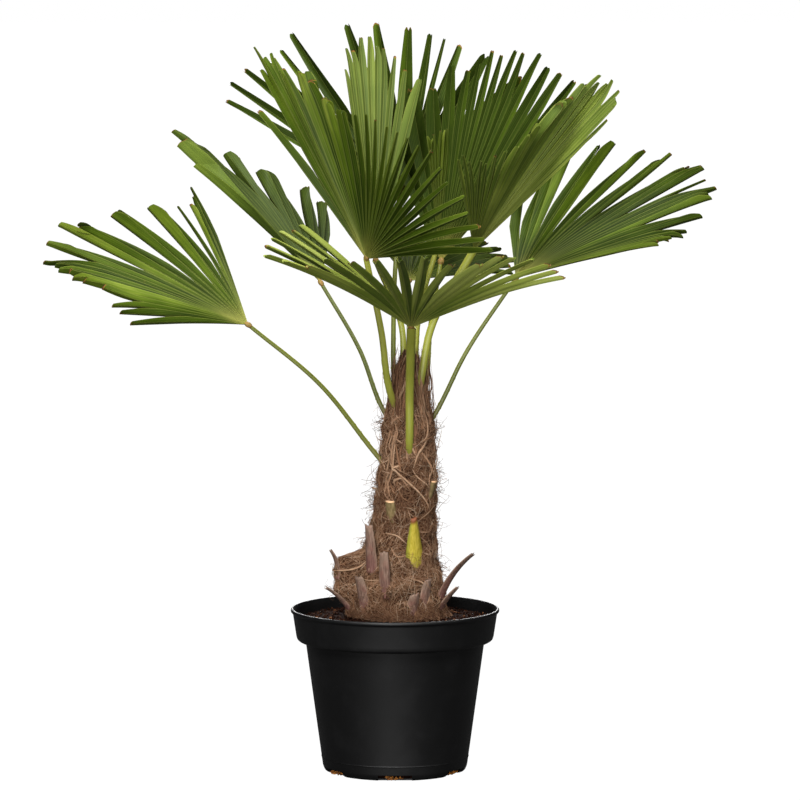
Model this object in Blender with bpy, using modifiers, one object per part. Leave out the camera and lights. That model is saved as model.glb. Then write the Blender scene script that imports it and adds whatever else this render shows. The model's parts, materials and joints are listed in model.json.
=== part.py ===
"""A young windmill palm in a round black nursery pot, made in metres with +Z up.

The origin is the middle of the pot's flat underside. -Y is the front and +X is the plant's right as seen
from there. The pot, the potting soil, the fibrous trunk, the cut leaf bases and each of the eleven fronds
are solids of their own. Each frond is a fan of folded segments on a tapering stalk, which stands in a
socket of the trunk."""

import math

import bmesh
import bpy
import numpy as np

MM = 0.001
GAP = 0.3 * MM

# The pot: a 10 litre nursery pot, 270 mm over its rim
RIM_R = 135 * MM
RIM_TOP = 212 * MM
BAND_FOOT_R = 127.7 * MM
BAND_FOOT = 170 * MM
SHOULDER_R = 114.5 * MM
FOOT_R = 93 * MM
FOOT_ROUND = 6 * MM
POT_WALL = 2.2 * MM
LIP = 2.6 * MM
POT_STEPS = 48
NOTCHES = 6
NOTCH_WIDE = 44 * MM
NOTCH_TALL = 8 * MM
NOTCH_DEEP = 14 * MM

# The soil, mounded a little towards the trunk
SOIL_EDGE = 198 * MM
SOIL_MIDDLE = 203 * MM

# The trunk: height, middle in x and radius of its rings
TRUNK_RINGS = np.array([
    (150, 5, 48), (178, 5, 50), (205.5, 5, 51), (209, 3, 58), (218, 1, 62), (234, 1, 62), (250, 1, 60),
    (266, 2, 54), (282, 5, 48), (303, 9, 43), (335, 12, 39), (369, 15, 37.5), (401, 16, 35.5), (434, 17, 33),
    (457, 17, 32), (474, 18, 28), (492, 18, 22), (516, 18, 17), (540, 18.5, 13), (553, 19, 8),
]) * MM
TRUNK_SIDES = 28
TRUNK_ROWS = 22
SCALE_RISE = 3.0 * MM
BELOW_SOIL = 207 * MM

# Dried leaf bases on the trunk: angle from the front in degrees, foot height, length, width, thickness,
# outward lean in degrees, and how much of the lean comes from bending
HUSKS = [
    (-38, 268, 58, 15, 6, 8, 4),
    (-14, 238, 54, 14, 6, 7, 2),
    (-44, 214, 46, 14, 6, 10, 4),
    (-86, 246, 52, 17, 6, 34, 20),
    (84, 232, 66, 19, 6, 28, 16),
    (-78, 216, 38, 15, 5, 48, 10),
    (72, 214, 34, 16, 5, 40, 8),
    (12, 212, 26, 16, 6, 14, 0),
    (36, 214, 44, 16, 6, 12, 4),
    (-58, 330, 42, 14, 5, 14, 6),
    (62, 318, 44, 15, 5, 14, 6),
]
BACK_HUSKS = 9
ROOT_DEEP = 4 * MM
HUSK_POINTS = 4
GOLDEN_TURN = 137.5

# Leaf bases that were cut while still fresh, each a solid of its own, as above
CUT_BASES = {
    "yellow_leaf_base": (25, 274, 66, 23, 10, 9, 3),
    "cut_leaf_base_left": (-27, 320, 34, 13, 9, 13, 0),
    "cut_leaf_base_right": (60, 351, 28, 13, 9, 16, 0),
}

# Blades
BLADE_THICK = 1.2 * MM
BLADE_START = 4.5 * MM
HUB_BALL = 7.2 * MM
TIP_NOTCH = 9 * MM
TIP_WIDE = 0.45

# Fronds: hub is where the blade leaves its stalk, and stalk is the way up to it from the socket. Each row
# of tips gives a place along the fan, from 0 to 1, and the tip's x, y and z from the hub. All are in
# millimetres. count is the number of segments, split the share of a segment that stays joined, cuts
# deeper splits by place, fold how deeply the segments are folded, and thick the stalk's half width at its
# foot and at the hub.
FRONDS = {
    "frond_far_left": dict(
        hub=(-190, -20, 587), stalk=[(-4, -4, 392), (-22, -4, 413), (-97, -12, 508)], thick=(4.5, 3.4),
        tips=[(0, -122, -132, 0), (0.1, -148, -118, 14), (0.18, -178, -100, 34), (0.27, -205, -80, 52),
              (0.38, -237, -50, 86), (0.5, -257, 0, 97), (0.6, -245, 30, 124), (0.7, -209, 50, 145),
              (0.82, -138, 80, 149), (0.9, -89, 100, 146), (1, -70, 122, 172)],
        count=22, droop=14, cuts={11: 0.42, 12: 0.62, 13: 0.4, 14: 0.62, 15: 0.38, 17: 0.4, 19: 0.38}),
    "frond_left_back": dict(
        hub=(-97, 60, 635), stalk=[(0, 12, 448), (-14, 14, 470), (-46, 34, 549)], thick=(4.2, 3.2),
        tips=[(0, -138, -75, 140), (0.18, -205, 10, 215), (0.36, -136, 90, 171), (0.5, -98, 140, 152),
              (0.64, -71, 170, 122), (0.8, -20, 190, 105), (1, 10, 190, 92)],
        count=16, droop=10, cuts={4: 0.45, 7: 0.45, 9: 0.45, 11: 0.5}),
    "frond_front_high": dict(
        hub=(-37, -50, 675), stalk=[(6, -12, 468), (-4, -22, 492), (-18, -40, 582)], thick=(4.6, 3.6),
        tips=[(0, -142, -30, 243), (0.16, -114, -10, 256), (0.3, -72, -50, 240), (0.42, -38, -115, 200),
              (0.52, 0, -170, 192), (0.6, 28, -190, 185), (0.7, 64, -190, 162), (0.8, 106, -185, 115),
              (0.9, 140, -165, 62), (1, 172, -120, 12)],
        count=22, droop=6, cuts={k: 0.42 for k in range(11, 22)}),
    "frond_front_low": dict(
        hub=(21, -75, 588), stalk=[(15, -18, 396), (18, -31, 425), (19, -42, 500)], thick=(5.2, 4.8),
        tips=[(0, -144, 40, 130), (0.08, -155, 0, 122), (0.16, -168, -40, 112), (0.24, -190, -93, 108),
              (0.33, -132, -160, 97), (0.4, -84, -205, 106), (0.48, -48, -215, 105), (0.55, -19, -225, 110),
              (0.62, 11, -225, 110), (0.69, 36, -220, 106), (0.77, 83, -200, 100), (0.85, 120, -170, 103),
              (0.96, 187, -95, 73), (1, 205, -50, 60)],
        count=14, droop=16, split=0.5),
    "frond_far_right": dict(
        hub=(157, 10, 645), stalk=[(38, 4, 446), (52, 5, 468), (91, 4, 546)], thick=(4.2, 3.2),
        tips=[(0, 175, -125, 44), (0.15, 244, -90, 102), (0.3, 252, -30, 138), (0.45, 225, 30, 150),
              (0.56, 202, 70, 151), (0.7, 156, 110, 162), (0.82, 97, 130, 175), (0.9, 30, 130, 130),
              (1, -28, 100, 62)],
        count=22, droop=12, cuts={12: 0.5, 14: 0.4, 15: 0.4, 16: 0.4, 17: 0.4, 18: 0.35, 19: 0.35}),
    "frond_right_front": dict(
        hub=(102, -20, 684), stalk=[(34, -9, 480), (40, -14, 505), (52, -16, 580)], thick=(4.4, 3.6),
        tips=[(0, 141, -85, 138), (0.1, 176, -90, 188), (0.22, 186, -60, 215), (0.34, 172, -45, 229),
              (0.48, 122, -70, 207), (0.6, 79, -130, 165), (0.72, 41, -160, 138), (0.84, 8, -165, 125),
              (1, -28, -150, 131)],
        count=18, droop=8),
    "frond_right_back": dict(
        hub=(60, 45, 664), stalk=[(34, 8, 482), (40, 12, 508), (46, 20, 580)], thick=(4.2, 3.4),
        tips=[(0, 200, 30, 225), (0.2, 165, 40, 245), (0.4, 125, 55, 262), (0.6, 92, 60, 272),
              (0.8, 60, 60, 268), (1, 20, 60, 262)],
        count=14, droop=4, fold=0.75),
    "frond_back_high": dict(
        hub=(7, 85, 738), stalk=[(4, 14, 474), (0, 18, 500), (-2, 26, 580), (0, 42, 650)],
        thick=(4.0, 3.2),
        tips=[(0, -232, 60, 122), (0.14, -211, 85, 163), (0.26, -172, 85, 193), (0.36, -145, 70, 214),
              (0.46, -85, 65, 224), (0.5, -66, 65, 229), (0.567, -27, 65, 231), (0.633, 10, 65, 230),
              (0.7, 45, 65, 223), (0.767, 60, 65, 217), (0.833, 78, 65, 212), (0.9, 115, 65, 195),
              (1, 190, 65, 140)],
        count=15, droop=4, short={6: 0.66}),
    "frond_upright": dict(
        hub=(-25, 10, 668), stalk=[(12, -2, 490), (10, 0, 516), (8, 2, 580)], thick=(3.8, 3.0),
        tips=[(0, -40, 20, 268), (0.3, -15, 35, 280), (0.6, 15, 45, 272), (0.8, 45, 40, 255),
              (1, 75, 25, 225)],
        count=12, droop=2, fold=1.3),
    "frond_young": dict(
        hub=(56, 0, 690), stalk=[(26, -2, 500), (28, -2, 530), (36, -4, 600)], thick=(3.4, 2.8),
        tips=[(0, -16, -45, 138), (0.5, -2, -50, 146), (1, 18, -50, 148)],
        count=6, droop=2, fold=1.5),
    "frond_back_low": dict(
        hub=(18, 64, 637), stalk=[(18, 18, 478), (18, 24, 500), (18, 40, 570)], thick=(4.0, 3.2),
        tips=[(0, 128, 8, 5), (0.2, 138, 60, 25), (0.4, 105, 115, 45), (0.6, 50, 160, 60),
              (0.8, -10, 170, 62), (1, -62, 150, 55)],
        count=14, droop=14),
}
STALK_POINTS = 9
STALK_SIDES = 8
SOCKET_POINTS = 6

COLOURS = {
    "pot": ((0.012, 0.012, 0.013), 0.55),
    "soil": ((0.045, 0.022, 0.014), 0.95),
    "trunk": ((0.17, 0.10, 0.055), 0.9),
    "yellow_leaf_base": ((0.55, 0.50, 0.05), 0.5),
    "cut_leaf_base": ((0.42, 0.24, 0.12), 0.8),
    "frond": ((0.10, 0.20, 0.035), 0.45),
}


def clear_scene():
    """Empty the scene, so that the model stands alone."""
    for thing in list(bpy.data.objects):
        bpy.data.objects.remove(thing, do_unlink=True)


def collection(name):
    """A collection in the scene, made when it is first needed."""
    found = bpy.data.collections.get(name)
    if found is None:
        found = bpy.data.collections.new(name)
        bpy.context.scene.collection.children.link(found)
    return found


def material(name):
    """A plain material in the part's colour."""
    found = bpy.data.materials.get(name)
    if found is None:
        colour, rough = COLOURS[name]
        found = bpy.data.materials.new(name)
        found.use_nodes = True
        shader = found.node_tree.nodes["Principled BSDF"]
        shader.inputs["Base Color"].default_value = (*colour, 1)
        shader.inputs["Roughness"].default_value = rough
        shader.inputs["Metallic"].default_value = 0
        found.diffuse_color = (*colour, 1)
    return found


def object_from(name, points, faces, finish=None, where="potted_palm"):
    """A mesh object from arrays of points and faces."""
    mesh = bpy.data.meshes.new(name)
    mesh.from_pydata(np.asarray(points).tolist(), [], np.asarray(faces).tolist())
    mesh.update()
    made = bpy.data.objects.new(name, mesh)
    collection(where).objects.link(made)
    if finish:
        mesh.materials.append(material(finish))
    return made


def tool_object(name, points, faces):
    """A cutter or a piece to be joined, which doesn't render."""
    made = object_from(name, points, faces, where="cutters")
    made.hide_render = True
    made.display_type = "WIRE"
    return made


def apply_boolean(target, others, operation, solver="EXACT"):
    """Cut the others from the target, or join them to it, all at once, and remove them."""
    group = bpy.data.collections.new("operands")
    for other in others:
        group.objects.link(other)
    step = target.modifiers.new("join", "BOOLEAN")
    step.operation = operation
    step.operand_type = "COLLECTION"
    step.collection = group
    step.solver = solver
    depsgraph = bpy.context.evaluated_depsgraph_get()
    mesh = bpy.data.meshes.new_from_object(target.evaluated_get(depsgraph))
    target.modifiers.clear()
    target.data = mesh
    for other in others:
        bpy.data.objects.remove(other, do_unlink=True)
    bpy.data.collections.remove(group)


def smooth(made, angle=35):
    """Shade smooth, with edges sharper than the angle kept."""
    made.data.shade_smooth()
    made.data.set_sharp_from_angle(angle=math.radians(angle))


def turned(name, profile, finish, steps, where="potted_palm"):
    """A solid of revolution round Z. The profile runs down the outside and ends on the axis."""
    mesh = bpy.data.meshes.new(name)
    points = [(r, 0, z) for r, z in profile]
    mesh.from_pydata(points, [(i, i + 1) for i in range(len(points) - 1)], [])
    made = bpy.data.objects.new(name, mesh)
    collection(where).objects.link(made)
    if finish:
        mesh.materials.append(material(finish))
    screw = made.modifiers.new("turn", "SCREW")
    screw.steps = steps
    screw.render_steps = steps
    screw.use_merge_vertices = True
    screw.merge_threshold = 0.0001
    screw.use_smooth_shade = False
    return made


def unit(v):
    """Vectors of length 1 in the same directions."""
    return v / np.maximum(np.linalg.norm(v, axis=-1, keepdims=True), 1e-12)


def through(knots, values, at):
    """Smooth values between knots: cubics whose slope at a knot comes from its two neighbours."""
    knots, values, at = (np.asarray(a, float) for a in (knots, values, at))
    slopes = np.gradient(values, knots, axis=0)
    i = np.clip(np.searchsorted(knots, at, side="right") - 1, 0, len(knots) - 2)
    span = (knots[i + 1] - knots[i])[..., None]
    t = (at - knots[i])[..., None] / span
    a, b = values[i], values[i + 1]
    p, q = slopes[i] * span, slopes[i + 1] * span
    c = np.clip(t, 0, 1)
    inside = a + p * c + (3 * (b - a) - 2 * p - q) * c**2 + (2 * (a - b) + p + q) * c**3
    return inside + np.minimum(t, 0) * p + np.maximum(t - 1, 0) * q


def loft(path, wide, deep, facing, sides):
    """A closed stalk along a path, with oval rings. wide is each ring's half width, deep its half depth
    towards facing."""
    ahead = unit(np.gradient(path, axis=0))
    across = unit(np.cross(ahead, facing))
    out = np.cross(across, ahead)
    turn = np.linspace(0, 2 * math.pi, sides, endpoint=False)[None, :, None]
    ring = across[:, None] * np.cos(turn) * wide[:, None, None] + out[:, None] * np.sin(turn) * deep[:, None, None]
    rows = len(path)
    points = np.concatenate([(path[:, None] + ring).reshape(-1, 3), path[:1], path[-1:]])
    j = np.arange(sides)
    following = (j + 1) % sides
    base = np.arange(rows - 1)[:, None] * sides
    a, b = base + j, base + following
    walls = np.concatenate([np.stack([a, a + sides, b + sides], -1).reshape(-1, 3),
                            np.stack([a, b + sides, b], -1).reshape(-1, 3)])
    first, last, top = rows * sides, rows * sides + 1, (rows - 1) * sides
    caps = [np.stack([np.full(sides, first), j, following], 1),
            np.stack([np.full(sides, last), top + following, top + j], 1)]
    return points, np.concatenate([walls, *caps])


class Fan:
    """The blade of a frond: segments in a fan round the hub, folded in a V, joined up to their splits."""

    def __init__(self, hub, tips, count, droop, seed, split=0.7, fold=0.6, cuts=None, short=None):
        table = np.array(tips, float)
        self.hub = np.array(hub) * MM
        self.count, self.fold, self.droop = count, fold, droop * MM
        starts = table[:, 1:] * MM + [0, 0, self.droop]
        self.places = table[:, 0] * count
        self.headings = unit(starts)
        self.sizes = np.linalg.norm(starts, axis=1, keepdims=True)
        draw = np.random.default_rng(seed)
        self.length = self.size(np.arange(count) + 0.5) * (1 + 0.04 * draw.uniform(-1, 1, count))
        for place, share in (short or {}).items():
            self.length[place] *= share
        near = np.r_[self.length[0], np.minimum(self.length[1:], self.length[:-1]), self.length[-1]]
        self.cut = near * (split + 0.05 * draw.uniform(-1, 1, count + 1))
        for place, share in (cuts or {}).items():
            self.cut[place] = near[place] * share
        self.notch = draw.uniform(0.3, 1, count)
        self.side = 1.0
        self.side = math.copysign(1.0, self.normal(np.arange(count) + 0.5)[:, 2].mean())

    def heading(self, s):
        """The direction from the hub at fan place s, which runs from 0 to count."""
        return unit(through(self.places, self.headings, s))

    def size(self, s):
        """The length of the fan at place s."""
        return through(self.places, self.sizes, s)[..., 0]

    def normal(self, s):
        """The way the fan's upper side faces: square to its heading and to the way the heading turns."""
        turn = self.heading(s + 0.25) - self.heading(s - 0.25)
        return self.side * unit(np.cross(turn, self.heading(s)))

    def spread(self, s):
        """Half the width of a segment at place s, for each metre from the hub."""
        return np.linalg.norm(self.heading(s + 0.5) - self.heading(s - 0.5), axis=-1) / 2

    def ray(self, s, r):
        """The fan before it is folded: r along the heading, less a sag that grows with the square of r."""
        sag = np.zeros(r.shape + (3,))
        sag[..., 2] = self.droop * (r / np.mean(self.sizes)) ** 2
        return self.hub + r[..., None] * self.heading(s) - sag

    def middle(self, s, r):
        """The valley line of a segment."""
        return self.ray(s, r) - (self.fold * self.spread(s) * r / 2)[..., None] * self.normal(s)

    def ridge(self, s, r):
        """The ridge that two neighbouring segments share."""
        return self.ray(s, r) + (self.fold * self.spread(s) * r / 2)[..., None] * self.normal(s)

    def surface(self, joined, free):
        """Points [segment, row, left ridge / valley / right ridge] and the fan's upper side at each.
        Up to the split an edge is the shared ridge. Past it, it keeps the offset that it had from the
        valley at the split, narrowed towards the tip."""
        i = np.arange(self.count)[:, None]
        s = i + 0.5
        full = self.length[:, None]
        inner = np.linspace(0, 1, joined + 1)[None]
        outer = np.linspace(0, 1, free + 1)[None, 1:]
        split_mid = (self.cut[:-1, None] + self.cut[1:, None]) / 2
        end = full - TIP_NOTCH * self.notch[:, None]
        r_mid = np.concatenate([BLADE_START + (split_mid - BLADE_START) * inner,
                                split_mid + (end - split_mid) * outer], 1)
        valley = self.middle(np.broadcast_to(s, r_mid.shape), r_mid)
        edges = []
        for side, cut in ((0, self.cut[:-1, None]), (1, self.cut[1:, None])):
            r = np.concatenate([BLADE_START + (cut - BLADE_START) * inner, cut + (full - cut) * outer], 1)
            place = np.broadcast_to(i + float(side), r.shape)
            offset = self.ridge(i + float(side), cut) - self.middle(s, cut)
            past = np.clip((r - cut) / (full - cut), 0, 1)
            narrow = 1 - (1 - TIP_WIDE) * past**1.3
            free_edge = self.middle(np.broadcast_to(s, r.shape), r) + offset * narrow[..., None]
            edges.append(np.where((past > 0)[..., None], free_edge, self.ridge(place, r)))
        points = np.stack([edges[0], valley, edges[1]], 2)
        upper = np.stack([self.normal(i + side) for side in (0.0, 0.5, 1.0)], 2)
        return points, np.broadcast_to(upper, points.shape)


def fan_solid(fan, joined=1, free=2):
    """The blade as a closed solid: its surface raised and lowered by half the blade's thickness."""
    points, upper = fan.surface(joined, free)
    segments, rows, columns = points.shape[:3]
    at = np.arange(segments * rows * columns).reshape(segments, rows, columns)
    a, b, c, d = at[:, :-1, :-1], at[:, :-1, 1:], at[:, 1:, 1:], at[:, 1:, :-1]
    faces = np.concatenate([np.stack(corners, -1).reshape(-1, 3) for corners in (
        (a[..., 0], b[..., 0], d[..., 0]), (b[..., 0], c[..., 0], d[..., 0]),
        (a[..., 1], b[..., 1], c[..., 1]), (a[..., 1], c[..., 1], d[..., 1]))])
    points, upper = points.reshape(-1, 3), upper.reshape(-1, 3)
    keys = np.round(points / (0.002 * MM)).astype(np.int64)
    _, first, same = np.unique(keys, axis=0, return_index=True, return_inverse=True)
    points, upper, faces = points[first], upper[first], same.reshape(-1)[faces]
    many = len(points)
    sides = np.concatenate([faces[:, [0, 1]], faces[:, [1, 2]], faces[:, [2, 0]]])
    alone = ~np.isin(sides[:, 0] * many + sides[:, 1], sides[:, 1] * many + sides[:, 0])
    p, q = sides[alone].T
    walls = np.concatenate([np.stack([p, p + many, q + many], 1), np.stack([p, q + many, q], 1)])
    faces = np.concatenate([faces, faces[:, ::-1] + many, walls])
    lift = upper * BLADE_THICK / 2
    return np.concatenate([points + lift, points - lift]), faces


def outward(points, faces):
    """The faces, turned so that the volume they enclose is positive."""
    a, b, c = (points[faces[:, k]] for k in range(3))
    volume = np.einsum("ij,ij->i", a, np.cross(b, c)).sum()
    return faces if volume > 0 else faces[:, ::-1]


def stalk_path(frond):
    """The stalk's middle line, from its foot in the trunk to the hub."""
    knots = np.array(frond["stalk"] + [frond["hub"]], float) * MM
    walked = np.r_[0, np.cumsum(np.linalg.norm(np.diff(knots, axis=0), axis=1))]
    return through(walked, knots, np.linspace(0, walked[-1], STALK_POINTS))


def stalk(frond, extra=0.0, points=STALK_POINTS):
    """The leaf stalk, a little flattened, thinner towards the hub."""
    path = stalk_path(frond)
    wide = np.linspace(frond["thick"][0], frond["thick"][1], STALK_POINTS) * MM + extra
    path, wide = path[:points].copy(), wide[:points]
    path[0] -= unit(path[1] - path[0]) * extra
    deep = (wide - extra) * 0.8 + extra
    return loft(path, wide, deep, np.array([0.0, -1, 0.2]), STALK_SIDES)


def make_frond(name, frond, seed):
    """One frond: its blade, its stalk and the small knob where they meet, joined in one solid."""
    keys = ("hub", "tips", "count", "droop", "split", "fold", "cuts", "short")
    fan = Fan(seed=seed, **{key: frond[key] for key in keys if key in frond})
    points, faces = fan_solid(fan)
    made = object_from(name, points, outward(points, faces), "frond")
    points, faces = stalk(frond)
    stem = tool_object("stalk", points, outward(points, faces))
    knob_mesh = bpy.data.meshes.new("knob")
    shape = bmesh.new()
    bmesh.ops.create_icosphere(shape, subdivisions=1, radius=HUB_BALL)
    bmesh.ops.translate(shape, vec=fan.hub, verts=shape.verts)
    shape.to_mesh(knob_mesh)
    shape.free()
    knob = bpy.data.objects.new("knob", knob_mesh)
    knob.hide_render = True
    knob.display_type = "WIRE"
    collection("cutters").objects.link(knob)
    apply_boolean(made, [stem, knob], "UNION", "MANIFOLD")
    return made


def pot_profiles():
    """The pot's outline, up its inside and down its outside, and the soil's, as (radius, height)."""
    inner = POT_WALL
    band_rise = (RIM_R - LIP - BAND_FOOT_R) / (RIM_TOP - BAND_FOOT)
    band_in = BAND_FOOT_R - inner + band_rise * (SOIL_EDGE - BAND_FOOT)
    ledge = BAND_FOOT + 2 * inner
    corner = [(FOOT_R - FOOT_ROUND * (1 - math.cos(a)), FOOT_ROUND * (1 - math.sin(a)))
              for a in np.radians([0, 30, 60, 90])]
    outside = [
        (RIM_R - LIP / 2, RIM_TOP), (RIM_R, RIM_TOP - LIP / 2), (RIM_R, RIM_TOP - 1.6 * LIP),
        (RIM_R - LIP, RIM_TOP - 2.2 * LIP), (BAND_FOOT_R + 0.8 * MM, BAND_FOOT + 6 * MM),
        (BAND_FOOT_R - 0.4 * MM, BAND_FOOT + 2 * MM), (BAND_FOOT_R - 3.4 * MM, BAND_FOOT),
        (SHOULDER_R, BAND_FOOT), *corner, (0, 0)]
    inside = [
        (0, inner), (FOOT_R - FOOT_ROUND - 1 * MM, inner), (FOOT_R - inner, FOOT_ROUND + 1.5 * MM),
        (SHOULDER_R - inner, ledge), (BAND_FOOT_R - inner, ledge), (RIM_R - LIP - inner, RIM_TOP - 2 * LIP),
        (RIM_R - 1.2 * LIP, RIM_TOP)]
    soil = [
        (0, SOIL_MIDDLE), (70 * MM, SOIL_MIDDLE), (100 * MM, (SOIL_EDGE + SOIL_MIDDLE) / 2),
        (band_in - 2 * GAP, SOIL_EDGE), (BAND_FOOT_R - inner - 2 * GAP, ledge + GAP),
        (SHOULDER_R - inner - 2 * GAP, ledge + GAP), (FOOT_R - inner - 2 * GAP, FOOT_ROUND + 1.5 * MM),
        (FOOT_R - FOOT_ROUND - 1.4 * MM, inner + GAP), (0, inner + GAP)]
    return inside + outside, soil


def make_pot():
    """The pot: a turned wall with a flat base, and drainage notches cut through its bottom corner."""
    profile, _ = pot_profiles()
    pot = turned("pot", profile, "pot", POT_STEPS)
    cutters = []
    for k in range(NOTCHES):
        mesh = bpy.data.meshes.new("notch")
        shape = bmesh.new()
        bmesh.ops.create_cube(shape, size=1)
        bmesh.ops.scale(shape, vec=(2 * NOTCH_DEEP, NOTCH_WIDE, 2 * NOTCH_TALL), verts=shape.verts)
        bmesh.ops.translate(shape, vec=(FOOT_R, 0, 0), verts=shape.verts)
        shape.to_mesh(mesh)
        shape.free()
        cutter = bpy.data.objects.new("notch", mesh)
        cutter.rotation_euler.z = math.radians(-90) + 2 * math.pi * k / NOTCHES
        cutter.hide_render = True
        cutter.display_type = "WIRE"
        collection("cutters").objects.link(cutter)
        cutters.append(cutter)
    bpy.context.view_layer.update()
    apply_boolean(pot, cutters, "DIFFERENCE")
    smooth(pot)
    return pot


def trunk_surface(angle, z):
    """The trunk's skin: rings about a middle line, with low lumps in the spiral of the old leaf bases."""
    rings = through(TRUNK_RINGS[:, 0], TRUNK_RINGS[:, 1:], z)
    lump = np.cos(3 * angle + z / (9 * MM)) * np.cos(5 * angle - z / (11 * MM))
    above = np.clip((z - BELOW_SOIL) / (10 * MM), 0, 1) * np.clip((520 * MM - z) / (60 * MM), 0, 1)
    radius = rings[..., 1] + SCALE_RISE * lump * above
    return np.stack([rings[..., 0] + radius * np.sin(angle), -radius * np.cos(angle), z + 0 * angle], -1)


def husk(spec):
    """A leaf base that stands off the trunk: its root is sunk in, and its tip leans and curls out."""
    angle, foot, length, wide, thick, lean, bend = spec
    angle = math.radians(angle)
    away = np.array([math.sin(angle), -math.cos(angle), 0])
    skin = trunk_surface(np.array(angle), np.array(foot * MM))
    t = np.linspace(0, 1, HUSK_POINTS)
    tilt = np.radians(lean - bend + 2 * bend * t)
    step = length * MM / (HUSK_POINTS - 1)
    climb = np.sin(tilt)[:, None] * away + np.cos(tilt)[:, None] * [0, 0, 1]
    path = skin - away * (ROOT_DEEP + thick / 2 * MM) + (np.cumsum(climb, 0) - climb[0]) * step
    half = wide / 2 * MM * (1 - 0.35 * t**2)
    return loft(path, half, thick / 2 * MM * (1 - 0.5 * t), away, 6)


def back_husks():
    """More dried bases on the back of the trunk, each a golden turn on from the one below."""
    draw = np.random.default_rng(7)
    made = []
    angle, foot = 120.0, 214.0
    while len(made) < BACK_HUSKS:
        turned_to = (angle + 180) % 360 - 180
        if abs(turned_to) > 96:
            made.append((turned_to, foot, draw.uniform(38, 58), 16, 6, draw.uniform(8, 26), 6))
            foot += 15
        angle += GOLDEN_TURN
        foot += 2
    return made


def make_trunk():
    """The fibrous trunk with its dried leaf bases, and sockets for the stalks and the cut bases."""
    z = np.interp(np.linspace(0, 1, TRUNK_ROWS), np.linspace(0, 1, len(TRUNK_RINGS)), TRUNK_RINGS[:, 0])
    turn = np.linspace(0, 2 * math.pi, TRUNK_SIDES, endpoint=False)
    grid = trunk_surface(turn[None, :], z[:, None])
    rows = len(z)
    points = np.concatenate([grid.reshape(-1, 3), grid[:1].mean(1), grid[-1:].mean(1)])
    j = np.arange(TRUNK_SIDES)
    following = (j + 1) % TRUNK_SIDES
    base = np.arange(rows - 1)[:, None] * TRUNK_SIDES
    a, b = base + j, base + following
    n, top = rows * TRUNK_SIDES, (rows - 1) * TRUNK_SIDES
    faces = np.concatenate([
        np.stack([a, b, b + TRUNK_SIDES], -1).reshape(-1, 3),
        np.stack([a, b + TRUNK_SIDES, a + TRUNK_SIDES], -1).reshape(-1, 3),
        np.stack([np.full(TRUNK_SIDES, n), following, j], 1),
        np.stack([np.full(TRUNK_SIDES, n + 1), top + j, top + following], 1)])
    trunk = object_from("trunk", points, outward(points, faces), "trunk")
    husks = []
    for spec in HUSKS + back_husks():
        points, faces = husk(spec)
        husks.append(tool_object("husk", points, outward(points, faces)))
    apply_boolean(trunk, husks, "UNION")
    sockets = []
    for frond in FRONDS.values():
        points, faces = stalk(frond, extra=GAP, points=SOCKET_POINTS)
        sockets.append(tool_object("socket", points, outward(points, faces)))
    for spec in CUT_BASES.values():
        points, faces = cut_base(spec, extra=GAP)
        sockets.append(tool_object("socket", points, outward(points, faces)))
    apply_boolean(trunk, sockets, "DIFFERENCE")
    return trunk


def cut_base(spec, extra=0.0):
    """A freshly cut leaf base: thick and blunt, pressed to the trunk, with its root sunk in."""
    angle, foot, length, wide, thick, lean, bend = spec
    angle = math.radians(angle)
    away = np.array([math.sin(angle), -math.cos(angle), 0])
    skin = trunk_surface(np.array(angle), np.array(foot * MM))
    t = np.linspace(0, 1, 6)
    tilt = np.radians(lean - bend + 2 * bend * t)
    climb = np.sin(tilt)[:, None] * away + np.cos(tilt)[:, None] * [0, 0, 1]
    path = skin - away * 1.5 * MM + np.cumsum(climb, 0) * length * MM / 5
    taper = 0.35 if wide > 20 else 0.85
    half = wide / 2 * MM * (0.75 + 0.6 * np.sin(math.pi * t) * (1 - taper) + (taper - 0.75) * t**2) + extra
    ends = np.zeros((6, 1))
    ends[0], ends[-1] = -extra, extra
    return loft(path + ends * climb, half, thick / 2 * MM * (1 - 0.25 * t) + extra, away, 8)


def make_soil():
    """The potting soil: it fills the pot and has a plain hole for the trunk's foot."""
    _, profile = pot_profiles()
    soil = turned("soil", profile, "soil", POT_STEPS)
    low = TRUNK_RINGS[0, 0] - GAP
    z = np.array([low, TRUNK_RINGS[1, 0], SOIL_MIDDLE + 2 * MM])
    rings = through(TRUNK_RINGS[:3, 0], TRUNK_RINGS[:3, 1:], np.clip(z, TRUNK_RINGS[0, 0], BELOW_SOIL))
    path = np.stack([rings[:, 0], 0 * z, z], 1)
    points, faces = loft(path, rings[:, 1] + 2 * GAP, rings[:, 1] + 2 * GAP, np.array([0.0, -1, 0]), TRUNK_SIDES)
    apply_boolean(soil, [tool_object("hole", points, outward(points, faces))], "DIFFERENCE")
    smooth(soil)
    return soil


def build():
    """Make every piece."""
    clear_scene()
    make_pot()
    make_soil()
    make_trunk()
    for name, spec in CUT_BASES.items():
        points, faces = cut_base(spec)
        finish = "yellow_leaf_base" if name.startswith("yellow") else "cut_leaf_base"
        object_from(name, points, outward(points, faces), finish)
    for seed, (name, frond) in enumerate(FRONDS.items()):
        make_frond(name, frond, seed)


build()
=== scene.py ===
# %% [markdown]
# # A young windmill palm in a nursery pot
#
# The plant is a short trunk wrapped in brown fibre, with eleven fan-shaped fronds on long stalks, in a
# black plastic pot of 270 mm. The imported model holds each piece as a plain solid. This file makes the
# surfaces that a camera sees: turned plastic, crumbly soil, matted fibre and pleated leaves. Every shape
# is a formula on whole arrays, and every finish is a formula on places, so that a leaf can be changed
# by changing one number.

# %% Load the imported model
import json
import math

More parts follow.
